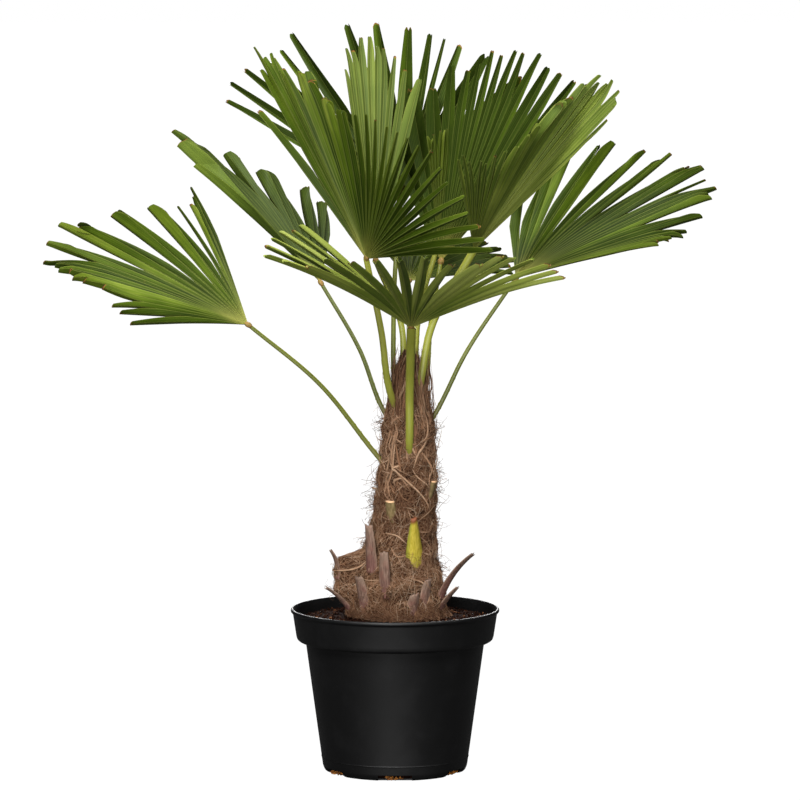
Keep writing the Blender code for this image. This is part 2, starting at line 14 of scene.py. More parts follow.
import bpy
import numpy as np
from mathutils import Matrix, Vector

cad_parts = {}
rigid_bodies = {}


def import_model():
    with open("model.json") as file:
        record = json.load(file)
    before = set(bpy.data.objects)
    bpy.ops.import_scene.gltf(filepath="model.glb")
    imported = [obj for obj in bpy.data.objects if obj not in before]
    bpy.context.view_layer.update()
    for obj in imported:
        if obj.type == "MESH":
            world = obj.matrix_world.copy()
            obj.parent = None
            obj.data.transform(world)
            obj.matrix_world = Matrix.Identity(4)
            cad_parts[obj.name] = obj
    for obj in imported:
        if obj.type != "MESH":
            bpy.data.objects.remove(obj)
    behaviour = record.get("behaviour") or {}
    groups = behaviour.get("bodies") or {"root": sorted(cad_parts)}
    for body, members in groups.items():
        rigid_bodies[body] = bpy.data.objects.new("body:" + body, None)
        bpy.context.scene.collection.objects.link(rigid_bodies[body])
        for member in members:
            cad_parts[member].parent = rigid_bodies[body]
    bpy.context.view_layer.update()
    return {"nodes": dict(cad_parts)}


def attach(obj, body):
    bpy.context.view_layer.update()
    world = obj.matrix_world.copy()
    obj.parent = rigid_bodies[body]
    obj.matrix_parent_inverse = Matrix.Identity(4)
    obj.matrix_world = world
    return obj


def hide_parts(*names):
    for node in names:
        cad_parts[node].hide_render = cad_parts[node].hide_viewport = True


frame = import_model()
MM = 0.001
TURN = 2 * math.pi
BODY = "root"
print("nodes:", sorted(frame["nodes"]))

# %% [markdown]
# ## The camera
#
# A product photograph of a tall plant is taken from far away with a long lens, so that near and far
# fronds keep the same scale. A short lens close by would also fill the picture, but it would spread the
# near fronds. The camera stands 7 m away, above the leaves, and looks down by about six degrees.

# %% Camera
CAMERA_AT = (0.0065, -7.0, 1.2054)
LOOK_DOWN = 5.86
FOCAL = 243.4
SENSOR = 36
FAR_END = 100

lens = bpy.data.cameras.new("camera")
lens.lens = FOCAL
lens.sensor_width = SENSOR
lens.clip_end = FAR_END
camera = bpy.data.objects.new("camera", lens)
camera.location = CAMERA_AT
camera.rotation_euler = (math.radians(90 - LOOK_DOWN), 0, 0)
bpy.context.scene.collection.objects.link(camera)
bpy.context.scene.camera = camera
print("camera at", CAMERA_AT, "with a lens of", FOCAL, "mm")

# %% [markdown]
# ## Sums on sockets
#
# A material is a sum over places, but in Blender a sum is a chain of small nodes. Writing each node and
# link by hand hides the formula, so a thin class wraps a socket and turns Python's own operators into
# Math nodes. `1 - mask` then reads as it would on paper. Colours are blended by Mix nodes, because a
# Math node would make them grey.


# %% A socket that can be used in sums
class Wire:
    """A node's output. Adding, taking away and multiplying it make Math nodes."""

    def __init__(self, nodes, socket):
        self.nodes = nodes
        self.socket = socket

    def math(self, operation, first, second=0.0):
        return self.nodes.node("ShaderNodeMath", {"operation": operation}, {0: first, 1: second})

    def __add__(self, other):
        return self.math("ADD", self, other)

    def __sub__(self, other):
        return self.math("SUBTRACT", self, other)

    def __rsub__(self, other):
        return self.math("SUBTRACT", other, self)

    def __mul__(self, other):
        return self.math("MULTIPLY", self, other)

    __radd__ = __add__
    __rmul__ = __mul__

    def wave(self):
        """The sine of the value."""
        return self.math("SINE", self)

    def between(self, low, high):
        """0 up to low, 1 from high on, and a smooth step where the value lies between them."""
        return self.nodes.node("ShaderNodeMapRange", {"interpolation_type": "SMOOTHSTEP"},
                               {"Value": self, "From Min": low, "From Max": high})


print("sums on sockets ready")

# %% [markdown]
# ### Materials
#
# One method adds every other node: it takes the node's type, its settings and its sockets. A finish is
# a material that knows this method, and a few short methods on top of it name what a finish is made of:
# noise, blends, ramps and relief. What is the same all over goes straight to the shader's own sockets.


# %% Node trees and finishes
def fill_ramp(ramp, stops):
    """Set a colour ramp's stops, using the two that it starts with."""
    while len(ramp.elements) < len(stops):
        ramp.elements.new(1.0)
    for element, (place, colour) in zip(ramp.elements, stops):
        element.position = place
        element.color = (*colour, 1)


class Nodes:
    """The node tree of a material or a world, with one method that adds any node."""

    def __init__(self, owner):
        owner.use_nodes = True
        self.tree = owner.node_tree

    def node(self, kind, settings=None, sockets=None, output=0):
        """Add a node. Its settings come first, then the numbers, colours or wires of its sockets."""
        made = self.tree.nodes.new(kind)
        for key, value in (settings or {}).items():
            if key == "stops":
                fill_ramp(made.color_ramp, value)
            else:
                setattr(made, key, value)
        for key, value in (sockets or {}).items():
            if isinstance(value, Wire):
                self.tree.links.new(value.socket, made.inputs[key])
            else:
                made.inputs[key].default_value = value
        return Wire(self, made.outputs[output])

    def feed(self, name, socket, wire):
        """Link a wire to a socket of the node of this name, which the tree has from the start."""
        self.tree.links.new(wire.socket, self.tree.nodes[name].inputs[socket])


class Finish(Nodes):
    """A material. Its constants are set on the shader, and give feeds what changes over the surface."""

    def __init__(self, name, **constants):
        self.material = bpy.data.materials.new(name)
        super().__init__(self.material)
        self.shader = self.tree.nodes["Principled BSDF"]
        for key, value in constants.items():
            self.shader.inputs[key.replace("_", " ")].default_value = value
        self.place = self.node("ShaderNodeTexCoord", output="Object")

    def value(self, name):
        """A number that the mesh carries at its points."""
        return self.node("ShaderNodeAttribute", {"attribute_name": name}, output="Fac")

    def noise(self, scale, detail=2.0, stretch=(1, 1, 1), roughness=0.5, place=None):
        """Cloudy values from 0 to 1. scale is in cells to a metre, and stretch squeezes the cells. place
        is what the noise reads instead of the object's own coordinates."""
        place = place or self.place
        if stretch != (1, 1, 1):
            place = self.node("ShaderNodeMapping", None, {"Vector": place, "Scale": stretch})
        sockets = {"Vector": place, "Scale": scale, "Detail": detail, "Roughness": roughness}
        return self.node("ShaderNodeTexNoise", None, sockets, output="Fac")

    def blend(self, share, first, second):
        """The first colour where share is 0 and the second where it is 1."""
        first, second = (c if isinstance(c, Wire) else (*c, 1) for c in (first, second))
        return self.node("ShaderNodeMix", {"data_type": "RGBA"}, {0: share, 6: first, 7: second}, output=2)

    def ramp(self, value, stops):
        """A colour for each value: stops are pairs of a value and a colour."""
        return self.node("ShaderNodeValToRGB", {"stops": stops}, {"Fac": value}, output="Color")

    def give(self, socket, wire):
        """Feed one of the shader's sockets."""
        self.feed("Principled BSDF", socket, wire)

    def bump(self, height, depth, strength=1.0):
        """Small relief: height runs from 0 to 1 and depth is what 1 stands for, in metres."""
        sockets = {"Height": height, "Distance": depth, "Strength": strength}
        self.give("Normal", self.node("ShaderNodeBump", None, sockets))


print("finishes ready")

# %% [markdown]
# ## Arrays into meshes
#
# Every surface here is a grid of points that a formula gives. The formulas share a few parts: directions
# of length 1, a smooth line through a handful of measured points, and soft random lumps. The lumps are
# worked out from the place itself, so that they stay the same in each run and need no table.


# %% Lines and lumps
def full_turn(steps):
    """Angles spread evenly over one turn."""
    return np.arange(steps) * TURN / steps


def swing(angle):
    """The level direction at an angle from the front, turning to the plant's right."""
    return np.stack([np.sin(angle), -np.cos(angle), 0 * angle], -1)


def unit(v):
    """Vectors of length 1 in the same directions."""
    return v / np.maximum(np.linalg.norm(v, axis=-1, keepdims=True), 1e-12)


def through(knots, values, at):
    """Smooth values between knots: cubics whose slope at a knot comes from its two neighbours."""
    knots, values, at = (np.asarray(a, float) for a in (knots, values, at))
    slopes = np.gradient(values, knots, axis=0)
    i = np.clip(np.searchsorted(knots, at, side="right") - 1, 0, len(knots) - 2)
    span = (knots[i + 1] - knots[i])[..., None]
    t = (at - knots[i])[..., None] / span
    a, b = values[i], values[i + 1]
    p, q = slopes[i] * span, slopes[i + 1] * span
    c = np.clip(t, 0, 1)
    inside = a + p * c + (3 * (b - a) - 2 * p - q) * c**2 + (2 * (a - b) + p + q) * c**3
    return inside + np.minimum(t, 0) * p + np.maximum(t - 1, 0) * q


def grain(points, size, seed):
    """Smooth lumps from -1 to 1: a random number at each corner of a grid of cubes, blended between the
    corners by 3t^2 - 2t^3 along each axis. The number is a hash of the corner's place: its whole numbers
    are mixed by large odd factors and shifts, and the last 16 bits are read as a share."""
    scaled = np.asarray(points) / size
    corner = np.floor(scaled).astype(np.int64)
    t = scaled - corner
    t = t * t * (3 - 2 * t)
    total = 0.0
    for step in np.ndindex(2, 2, 2):
        key = (corner + step) @ np.array([73856093, 19349663, 83492791]) + seed * 26544357
        key = (key ^ (key >> 13)) * 1274126177
        key = (key ^ (key >> 16)) & 0xFFFF
        share = np.prod(np.where(np.array(step, bool), t, 1 - t), axis=-1)
        total = total + share * (key / 32767.5 - 1)
    return total


print("lines and lumps ready")

# %% [markdown]
# ### Grids into pieces
#
# The same few steps turn each grid into a mesh. The points go into it in one call, because a loop over a
# hundred thousand points would take minutes in Python. Numbers that a finish needs later, such as how
# near a point is to the edge of its leaf, ride along as attributes of the mesh.


# %% Faces and pieces
def grid_faces(rows, columns, around=False):
    """Four-cornered faces between the points of a grid, closed round the columns if asked."""
    j = np.arange(columns if around else columns - 1)
    k = (j + 1) % columns
    base = np.arange(rows - 1)[:, None] * columns
    a, b = base + j, base + k
    return np.stack([a, b, b + columns, a + columns], -1).reshape(-1, 4)


def outward(points, faces):
    """The faces, turned so that the volume they enclose is positive."""
    total = 0.0
    for corners in faces:
        for k in range(1, corners.shape[1] - 1):
            a, b, c = (points[corners[:, n]] for n in (0, k, k + 1))
            total += np.einsum("ij,ij->", a, np.cross(b, c))
    return faces if total > 0 else [corners[:, ::-1] for corners in faces]


def capped(grid, ends=None):
    """A closed shape from a grid [row, column] that goes round its columns. Triangles close the first
    and the last row to a point each: the two ends given, or else the rows' means."""
    rows, columns = grid.shape[:2]
    points = np.concatenate([grid.reshape(-1, 3), grid[[0, -1]].mean(1) if ends is None else ends])
    j = np.arange(columns)
    k = (j + 1) % columns
    low, high, last = len(points) - 2, len(points) - 1, (rows - 1) * columns
    caps = [np.stack([0 * j + low, k, j], 1), np.stack([0 * j + high, last + j, last + k], 1)]
    return points, outward(points, [grid_faces(rows, columns, around=True), np.concatenate(caps)])


class Stack:
    """Shapes gathered into one piece. values are numbers at the points, and pick is a finish's place."""

    def __init__(self):
        self.points, self.faces, self.picks, self.values, self.many = [], [], [], [], 0

    def add(self, points, faces, pick=0, **values):
        for corners in faces:
            self.faces.append(corners + self.many)
            self.picks.append(np.full(len(corners), pick))
        self.points.append(points)
        self.values.append({key: np.broadcast_to(v, len(points)) for key, v in values.items()})
        self.many += len(points)

    def piece(self, name, finishes, replaces=(), crease=None):
        """Make the mesh, shade it smooth but for creases over an angle, and let it ride on the plant."""
        mesh = bpy.data.meshes.new(name)
        points = np.concatenate(self.points)
        corners = np.concatenate([f.ravel() for f in self.faces])
        sizes = np.concatenate([np.full(len(f), f.shape[1]) for f in self.faces])
        mesh.vertices.add(len(points))
        mesh.vertices.foreach_set("co", points.astype(np.float32).ravel())
        mesh.loops.add(len(corners))
        mesh.loops.foreach_set("vertex_index", corners.astype(np.int32))
        mesh.polygons.add(len(sizes))
        mesh.polygons.foreach_set("loop_start", np.r_[0, np.cumsum(sizes)[:-1]].astype(np.int32))
        for finish in finishes:
            mesh.materials.append(finish.material)
        mesh.polygons.foreach_set("material_index", np.concatenate(self.picks).astype(np.int32))
        for key in sorted(set().union(*self.values)):
            layer = mesh.attributes.new(key, "FLOAT", "POINT")
            numbers = [v.get(key, np.zeros(len(p))) for v, p in zip(self.values, self.points)]
            layer.data.foreach_set("value", np.concatenate(numbers).astype(np.float32))
        mesh.update(calc_edges=True)
        mesh.validate()
        mesh.shade_smooth()
        if crease:
            mesh.set_sharp_from_angle(angle=math.radians(crease))
        made = bpy.data.objects.new(name, mesh)
        bpy.context.scene.collection.objects.link(made)
        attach(made, BODY)
        if replaces:
            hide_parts(*replaces)
        print(name, int((sizes - 2).sum()), "triangles")
        return made


print("pieces ready")

# %% [markdown]
# ### Tubes
#
# Strands, hairs, stalks and leaf bases are all tubes along a path. At each step the ring needs two
# directions square to the path. They come from the way that the tube should face, so that a flat strip
# doesn't twist as it runs.


# %% Tubes
def axes_along(paths, facing):
    """Three directions at each step of a path: ahead, across it, and out to the side that it faces."""
    ahead = unit(np.gradient(paths, axis=-2))
    across = unit(np.cross(ahead, facing))
    return ahead, across, np.cross(across, ahead)


def ring_numbers(t, turn):
    """For the points of one capped tube: how far along it each lies, and how near one of its two edges."""
    return np.r_[np.repeat(t, len(turn)), 0, 1], np.r_[np.tile(np.abs(np.cos(turn)), len(t)), 0, 0]


def tubes(paths, wide, deep, sides, facing):
    """Closed tubes along many paths at once. paths is [tube, step, xyz], wide and deep the half width and
    half depth at each step, and facing the way that the depth points. The ring of a step is
    across * cos(turn) * wide + out * sin(turn) * deep. The faces that close a tube's ends are turned the
    other way round than its walls."""
    _, across, out = axes_along(paths, facing)
    turn = full_turn(sides)
    ring = (across[:, :, None] * (np.cos(turn)[:, None] * wide[..., None, None])
            + out[:, :, None] * (np.sin(turn)[:, None] * deep[..., None, None]))
    many, steps = paths.shape[:2]
    points = (paths[:, :, None] + ring).reshape(-1, 3)
    start = (np.arange(many) * steps * sides)[:, None, None]
    walls = (start + grid_faces(steps, sides, around=True)[None]).reshape(-1, 4)
    j = np.arange(sides)
    if sides <= 4:
        ends = [start[:, 0] + j, start[:, 0] + (steps - 1) * sides + j[::-1]]
        return points, outward(points, [walls, np.concatenate(ends)])
    middles = np.concatenate([paths[:, 0], paths[:, -1]])
    first = len(points) + np.arange(many)[:, None]
    low = start[:, 0] + j
    high = low + (steps - 1) * sides
    caps = [np.stack([np.broadcast_to(first, low.shape), low, np.roll(low, -1, 1)], -1),
            np.stack([np.broadcast_to(first + many, high.shape), np.roll(high, -1, 1), high], -1)]
    points = np.concatenate([points, middles])
    return points, outward(points, [walls, np.concatenate([c.reshape(-1, 3) for c in caps])])


def per_point(values, sides, with_middles):
    """Repeat a value of each tube and step round its ring, and add the caps' middles where it has them."""
    ring = np.repeat(values.reshape(-1), sides)
    return np.concatenate([ring, values[:, 0], values[:, -1]]) if with_middles else ring


print("tubes ready")

# %% [markdown]
# ## The pot
#
# A nursery pot is one thin wall of black polypropylene, moulded with a deep band under its rim so that
# it can be lifted. It is a turned shape: an outline carried round the axis. The outline's corners are
# rounded by short curves, because a sharp moulded corner never catches the light. Six drainage notches
# are then cut through the bottom corner with boxes, as the mould's inserts do.

# %% Pot shape
RIM_R = 136.2 * MM
RIM_TOP = 214 * MM
BAND_FOOT_R = 128.2 * MM
BAND_FOOT = 172 * MM
SHOULDER_R = 117 * MM
FOOT_R = 94.5 * MM
FOOT_ROUND = 8 * MM
POT_WALL = 2.2 * MM
LIP = 2.6 * MM
NOTCHES = 6
NOTCH_WIDE = 44 * MM
NOTCH_TALL = 8 * MM
NOTCH_DEEP = 14 * MM
POT_STEPS = 240
POT_CREASE = 38
SEAM_AT = 19.5 * MM
CORNER = 1.6 * MM


def soften(outline, reach, steps=4):
    """Replace each corner of an outline by a curve from reach before it to reach past it."""
    outline = np.array(outline, float)
    made = [outline[0]]
    t = np.linspace(0, 1, steps + 1)[:, None]
    for before, corner, after in zip(outline, outline[1:], outline[2:]):
        ends = []
        for other in (before, after):
            leg = np.linalg.norm(other - corner)
            ends.append(corner + (other - corner) * min(reach, 0.45 * leg) / leg)
        made.extend(ends[0] * (1 - t) ** 2 + corner * 2 * t * (1 - t) + ends[1] * t**2)
    made.append(outline[-1])
    return np.array(made)


def carried_round(outline, steps):
    """A grid of points: an outline, given as (radius, height), carried round the axis."""
    return outline[:, None, :1] * swing(full_turn(steps)) + outline[:, None, 1:] * [0, 0, 1]


def pot_outline():
    """The pot from the middle of its floor, up the inside, over the rim and down to its underside."""
    ledge = BAND_FOOT + 2 * POT_WALL
    inside = [(0, POT_WALL), (FOOT_R - FOOT_ROUND - 1 * MM, POT_WALL),
              (FOOT_R - POT_WALL, FOOT_ROUND + 1.5 * MM), (SHOULDER_R - POT_WALL, ledge),
              (BAND_FOOT_R - POT_WALL, ledge), (RIM_R - LIP - POT_WALL, RIM_TOP - 2 * LIP),
              (RIM_R - 1.2 * LIP, RIM_TOP)]
    outside = [(RIM_R - LIP / 2, RIM_TOP), (RIM_R, RIM_TOP - LIP / 2), (RIM_R, RIM_TOP - 1.6 * LIP),
               (RIM_R - LIP, RIM_TOP - 2.2 * LIP), (BAND_FOOT_R + 0.8 * MM, BAND_FOOT + 6 * MM),
               (BAND_FOOT_R - 0.4 * MM, BAND_FOOT + 2 * MM), (BAND_FOOT_R - 3.4 * MM, BAND_FOOT),
               (SHOULDER_R, BAND_FOOT)]
    slope = (SHOULDER_R - FOOT_R) / (BAND_FOOT - FOOT_ROUND)
    seam = FOOT_R + slope * (SEAM_AT - FOOT_ROUND)
    line = [(seam + 0.5 * MM * slope, SEAM_AT + 0.5 * MM), (seam + 0.55 * MM, SEAM_AT),
            (seam, SEAM_AT - 0.5 * MM)]
    foot = [(FOOT_R - FOOT_ROUND * (1 - math.cos(a)), FOOT_ROUND * (1 - math.sin(a)))
            for a in np.radians([0, 45, 90])]
    return soften(inside + outside + line + foot + [(0, 0)], CORNER)


def cut_notches(pot):
    """Cut the drainage notches through the pot's bottom corner, and keep the result in its mesh."""
    cutters = bpy.data.collections.new("notch cutters")
    for k in range(NOTCHES):
        angle = TURN * k / NOTCHES
        sideways = swing(np.array(angle + math.pi / 2))
        box = [swing(np.array(angle)) * (FOOT_R + a * NOTCH_DEEP) + sideways * b * NOTCH_WIDE / 2
               + np.array([0, 0, c * NOTCH_TALL]) for a in (-1, 1) for b in (-1, 1) for c in (-1, 1)]
        sides = [(0, 1, 3, 2), (4, 6, 7, 5), (0, 4, 5, 1), (2, 3, 7, 6), (0, 2, 6, 4), (1, 5, 7, 3)]
        mesh = bpy.data.meshes.new("notch")
        mesh.from_pydata([p.tolist() for p in box], [], sides)
        cutters.objects.link(bpy.data.objects.new("notch", mesh))
    step = pot.modifiers.new("notches", "BOOLEAN")
    step.operation = "DIFFERENCE"
    step.operand_type = "COLLECTION"
    step.collection = cutters
    mesh = bpy.data.meshes.new_from_object(pot.evaluated_get(bpy.context.evaluated_depsgraph_get()))
    pot.modifiers.clear()
    pot.data = mesh
    for cutter in list(cutters.objects):
        bpy.data.objects.remove(cutter, do_unlink=True)
    bpy.data.collections.remove(cutters)
    mesh.shade_smooth()
    mesh.set_sharp_from_angle(angle=math.radians(POT_CREASE))


print("pot outline of", len(pot_outline()), "points")

# %% [markdown]
# ### Black plastic
#
# Moulded polypropylene is satin: the light spreads over it in soft bands. The colour is near black, and
# what keeps it from looking like a hole is a very fine grain in the surface and faint rubbed places. The
# outline is carried round here, and its first and last point close the floor at the axis.

# %% Pot finish and pot
plastic = Finish("pot_plastic", Roughness=0.5, Specular_IOR_Level=0.40)
rubbed = plastic.noise(28, 3).between(0.45, 0.75)
plastic.give("Base Color", plastic.blend(rubbed, (0.0018, 0.0018, 0.0019), (0.0042, 0.0042, 0.0044)))
plastic.give("Roughness", 0.47 + 0.02 * rubbed + 0.04 * plastic.noise(900, 1))
plastic.bump(plastic.noise(1800, 2), 0.05 * MM, 0.35)

pot_stack = Stack()
profile = pot_outline()
axis_ends = [(0, 0, profile[0, 1]), (0, 0, profile[-1, 1])]
pot_stack.add(*capped(carried_round(profile[1:-1], POT_STEPS), axis_ends))
pot = pot_stack.piece("pot_shell", [plastic], ["pot"])
cut_notches(pot)
print("pot with", NOTCHES, "notches:", len(pot.data.polygons), "faces")

# %% [markdown]
# ## The soil
#
# Potting soil is peat and bark: dark crumbs of many sizes with a few pale specks. A bumpy sheet alone
# looks like dough, and loose crumbs alone would need a hundred thousand. So a rough surface carries the
# middle sizes, and some two thousand crumbs of a few faces each lie on it.

# %% Soil shape
SOIL_EDGE = 198 * MM
SOIL_MIDDLE = 203 * MM
SOIL_FLAT_R = 70 * MM
SOIL_FADE = 4 * MM
GAP = 0.3 * MM
BAND_SLOPE = (RIM_R - LIP - BAND_FOOT_R) / (RIM_TOP - BAND_FOOT)
SOIL_R = BAND_FOOT_R - POT_WALL + BAND_SLOPE * (SOIL_EDGE - BAND_FOOT)


def soil_height(r):
    """The soil's level at a radius: flat in the middle, falling a little to the pot's wall."""
    share = np.clip((r - SOIL_FLAT_R) / (SOIL_R - SOIL_FLAT_R), 0, 1)
    return SOIL_MIDDLE - (SOIL_MIDDLE - SOIL_EDGE) * (3 * share**2 - 2 * share**3)


def soil_body(rings=70, steps=220):
    """The soil's rough top, with its plain sides and underside, as one closed shape. The relief is the
    sum of lumps of three sizes, and it fades out at the wall."""
    r = np.linspace(SOIL_R - 2 * GAP, 0, rings + 1)[:-1]
    top = r[:, None, None] * swing(full_turn(steps))
    top[..., 2] = soil_height(r)[:, None]
    fade = np.clip((SOIL_R - r) / SOIL_FADE, 0.15, 1)[:, None]
    relief = grain(top, 9 * MM, 1) * 1.5 + grain(top, 4 * MM, 2) * 1.1
    relief = relief + np.abs(grain(top, 2.2 * MM, 3)) * 1.2
    top[..., 2] += relief * fade * MM
    floor, ledge, slack = POT_WALL + GAP, BAND_FOOT + 2 * POT_WALL + GAP, POT_WALL + 2 * GAP
    side = np.array([(FOOT_R - FOOT_ROUND - 1.4 * MM, floor), (FOOT_R - slack, FOOT_ROUND + 1.5 * MM),
                     (SHOULDER_R - slack, ledge), (BAND_FOOT_R - slack, ledge)])
    grid = np.concatenate([carried_round(side, steps), top])
    return capped(grid, [(0, 0, floor), (0, 0, SOIL_MIDDLE)])


def crumbs(centres, sizes, long, seed):
    """Many small stones or crumbs at once: eight-cornered lumps, squeezed and turned at random. Corner k
    of a lump lies at its centre plus a random turn of (x, y, z) stretched by its own three sizes."""
    draw = np.random.default_rng(seed)
    many = len(centres)
    corners = np.array([(x, y, z) for z in (-1, 1) for x, y in ((-1, -1), (1, -1), (1, 1), (-1, 1))], float)
    corners = corners[None] * draw.uniform(0.45, 0.75, (many, 8, 1))
    squeezed = np.stack([long, draw.uniform(0.6, 1, many), draw.uniform(0.5, 0.8, many)], 1)
    corners = corners * squeezed[:, None]
    a, b = unit(draw.normal(size=(many, 3))), unit(draw.normal(size=(many, 3)))
    c = unit(np.cross(a, b))
    axes = np.stack([a, np.cross(c, a), c], 1)
    points = centres[:, None] + np.einsum("nki,nij->nkj", corners, axes) * sizes[:, None, None]
    sides = np.array([(3, 2, 1, 0), (4, 5, 6, 7), (0, 1, 5, 4), (1, 2, 6, 5), (2, 3, 7, 6), (3, 0, 4, 7)])
    faces = (np.arange(many)[:, None, None] * 8 + sides[None]).reshape(-1, 4)
    return points.reshape(-1, 3), [faces]


print("soil radius", round(SOIL_R / MM, 1), "mm")

# %% [markdown]
# ### Dark peat
#
# Wet peat is almost black, with a red-brown cast where a crumb is dry. One number at each point tells
# what it is made of: 0 for the bed, up to 1 for a dry crumb, and more than 1.2 for the orange coir that
# shows through the drainage notches.

# %% Soil finish
peat = Finish("soil", Roughness=1.0, Specular_IOR_Level=0.05)
patch = peat.noise(160, 4, roughness=0.7)
fleck = peat.noise(520, 2).between(0.66, 0.72)
tint = peat.value("tint")
dark_peat = peat.ramp(patch, [
    (0.3, (0.0040, 0.0014, 0.0008)), (0.55, (0.016, 0.005, 0.0026)), (0.8, (0.042, 0.0155, 0.0085))])
mixed_peat = peat.blend(tint.between(0.55, 1.0), dark_peat, (0.15, 0.062, 0.028))
mixed_peat = peat.blend(fleck * 0.6, mixed_peat, (0.13, 0.065, 0.034))
peat.give("Base Color", peat.blend(tint.between(1.2, 1.9), mixed_peat, (0.44, 0.17, 0.030)))
peat.bump(peat.noise(700, 3, roughness=0.7), 0.6 * MM)
print("peat ready")

# %% [markdown]
# ### Crumbs and coir
#
# Most crumbs are small and a few are large, so their size follows a high power of a random number. They
# lie on the soil's level between the trunk and the wall. In each notch a few tufts of coir press against
# the opening, a little above the floor on which the pot stands.

# %% Soil with its crumbs
CRUMBS = 2300
CRUMB_LEAST = 0.7
CRUMB_MORE = 2.2
LONG_CRUMBS = 0.85
COIR = 26
COIR_SPREAD = 0.13

draw = np.random.default_rng(11)
crumb_r = np.sqrt(draw.uniform(0.12, 1, CRUMBS)) * (SOIL_R - 3 * MM)
crumb_at = swing(draw.uniform(0, TURN, CRUMBS)) * crumb_r[:, None]
crumb_at[:, 2] = soil_height(crumb_r) + draw.uniform(0.4, 2.6, CRUMBS) * MM
crumb_size = (CRUMB_LEAST + CRUMB_MORE * draw.uniform(0, 1, CRUMBS) ** 4) * MM
crumb_long = np.where(draw.uniform(0, 1, CRUMBS) > LONG_CRUMBS, draw.uniform(2, 4, CRUMBS), 1.0)
crumb_tint = draw.uniform(0, 1, CRUMBS) ** 3
soil_stack = Stack()
soil_stack.add(*soil_body(), tint=0.0)
soil_stack.add(*crumbs(crumb_at, crumb_size, crumb_long, 12), tint=np.repeat(crumb_tint, 8))

notch_turn = np.repeat(full_turn(NOTCHES), COIR)
many = len(notch_turn)
coir_turn = notch_turn + draw.uniform(-COIR_SPREAD, COIR_SPREAD, many)
coir_at = swing(coir_turn) * (FOOT_R - draw.uniform(4, 10, many) * MM)[:, None]
coir_at[:, 2] = draw.uniform(2.7, 6.4, many) * MM
coir_size, coir_long = draw.uniform(1.8, 3.0, many) * MM, draw.uniform(1, 1.4, many)
coir_tint = draw.uniform(1.3, 2.0, many)
soil_stack.add(*crumbs(coir_at, coir_size, coir_long, 13), tint=np.repeat(coir_tint, 8))
soil_stack.piece("soil_surface", [peat], ["soil"])

# %% [markdown]
# ## The trunk's skin
#
# What looks like bark is the fibre of old leaf sheaths, wrapped round a thin stem. The skin under the
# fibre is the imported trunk's own formula: rings about a leaning middle line, with low lumps in two
# crossing spirals. A finer grain is added here, so that gaps between strands show depth and not a wall.

# %% Trunk shape
# Each ring: its height, how far its middle lies to the right, and its radius, in mm
TRUNK_RINGS = np.array([
    (150, 5, 48), (178, 5, 50), (205.5, 5, 51), (209, 3, 58), (218, 1, 62), (234, 1, 62), (250, 1, 60),
    (266, 2, 54), (282, 5, 48), (303, 9, 43), (335, 12, 39), (369, 15, 37.5), (401, 16, 35.5), (434, 17, 33),
    (457, 17, 32), (474, 18, 28), (492, 18, 22), (516, 18, 17), (540, 18.5, 13), (553, 19, 8),
]) * MM
SCALE_RISE = 3.0 * MM
BELOW_SOIL = 207 * MM
SMOOTH_FROM = 520 * MM
TRUNK_TOP = TRUNK_RINGS[-1, 0]
WEB_OUT = 79 * MM
WEB_AT = -1.47
WEB_SPREAD = 0.26
WEB_FOOT = 210 * MM
WEB_TOP = 291 * MM


def trunk_ring(z):
    """The middle line's place and the radius at a height, as two arrays."""
    return np.moveaxis(through(TRUNK_RINGS[:, 0], TRUNK_RINGS[:, 1:], z), -1, 0)


def web(angle, z, radius):
    """The fibre that still hangs between the trunk and the dried base at its left, as extra radius. Its
    outer edge stands upright, so it is what the trunk's own radius lacks of WEB_OUT."""
    aside = (angle + math.pi) % TURN - math.pi - WEB_AT
    rise = np.clip((z - WEB_FOOT) / (30 * MM), 0, 1) * np.clip((WEB_TOP - z) / (9 * MM), 0, 1)
    return (WEB_OUT - radius) * np.exp(-(aside / WEB_SPREAD) ** 2) * rise


def trunk_surface(angle, z):
    """The trunk's skin: rings about a middle line, with low lumps in the spiral of the old leaf bases.
    A lump is cos(3 angle + z / 9) cos(5 angle - z / 11), with z in mm."""
    middle, radius = trunk_ring(z)
    lump = np.cos(3 * angle + z / (9 * MM)) * np.cos(5 * angle - z / (11 * MM))
    above = np.clip((z - BELOW_SOIL) / (10 * MM), 0, 1) * np.clip((SMOOTH_FROM - z) / (60 * MM), 0, 1)
    radius = radius + SCALE_RISE * lump * above + web(angle, z, radius)
    return np.stack([middle + radius * np.sin(angle), -radius * np.cos(angle), z + 0 * angle], -1)


def trunk_skin(rows=190, columns=150):
    """The skin as a closed shape, roughened along the fibre's two crossing ways."""
    z = np.linspace(TRUNK_RINGS[0, 0], TRUNK_TOP, rows)
    turn = full_turn(columns)
    grid = trunk_surface(turn[None], z[:, None])
    rough = grain(grid * [1, 1, 0.6], 5 * MM, 21) * 1.3 + grain(grid, 2.4 * MM, 22) * 0.9
    return capped(grid + swing(turn)[None] * (rough * MM - 0.8 * MM)[..., None])


print("trunk from", TRUNK_RINGS[0, 0], "to", TRUNK_TOP, "m")

# %% [markdown]
# ### Old leaf bases
#
# Where a dead frond was torn away, a stiff strip of its base stays on the trunk, grey-brown outside and
# pinkish where it broke. Each is a flattened tube along a path that leans out and curls. Its end is cut
# unevenly, so the last rings are pushed along the path by a jagged amount.

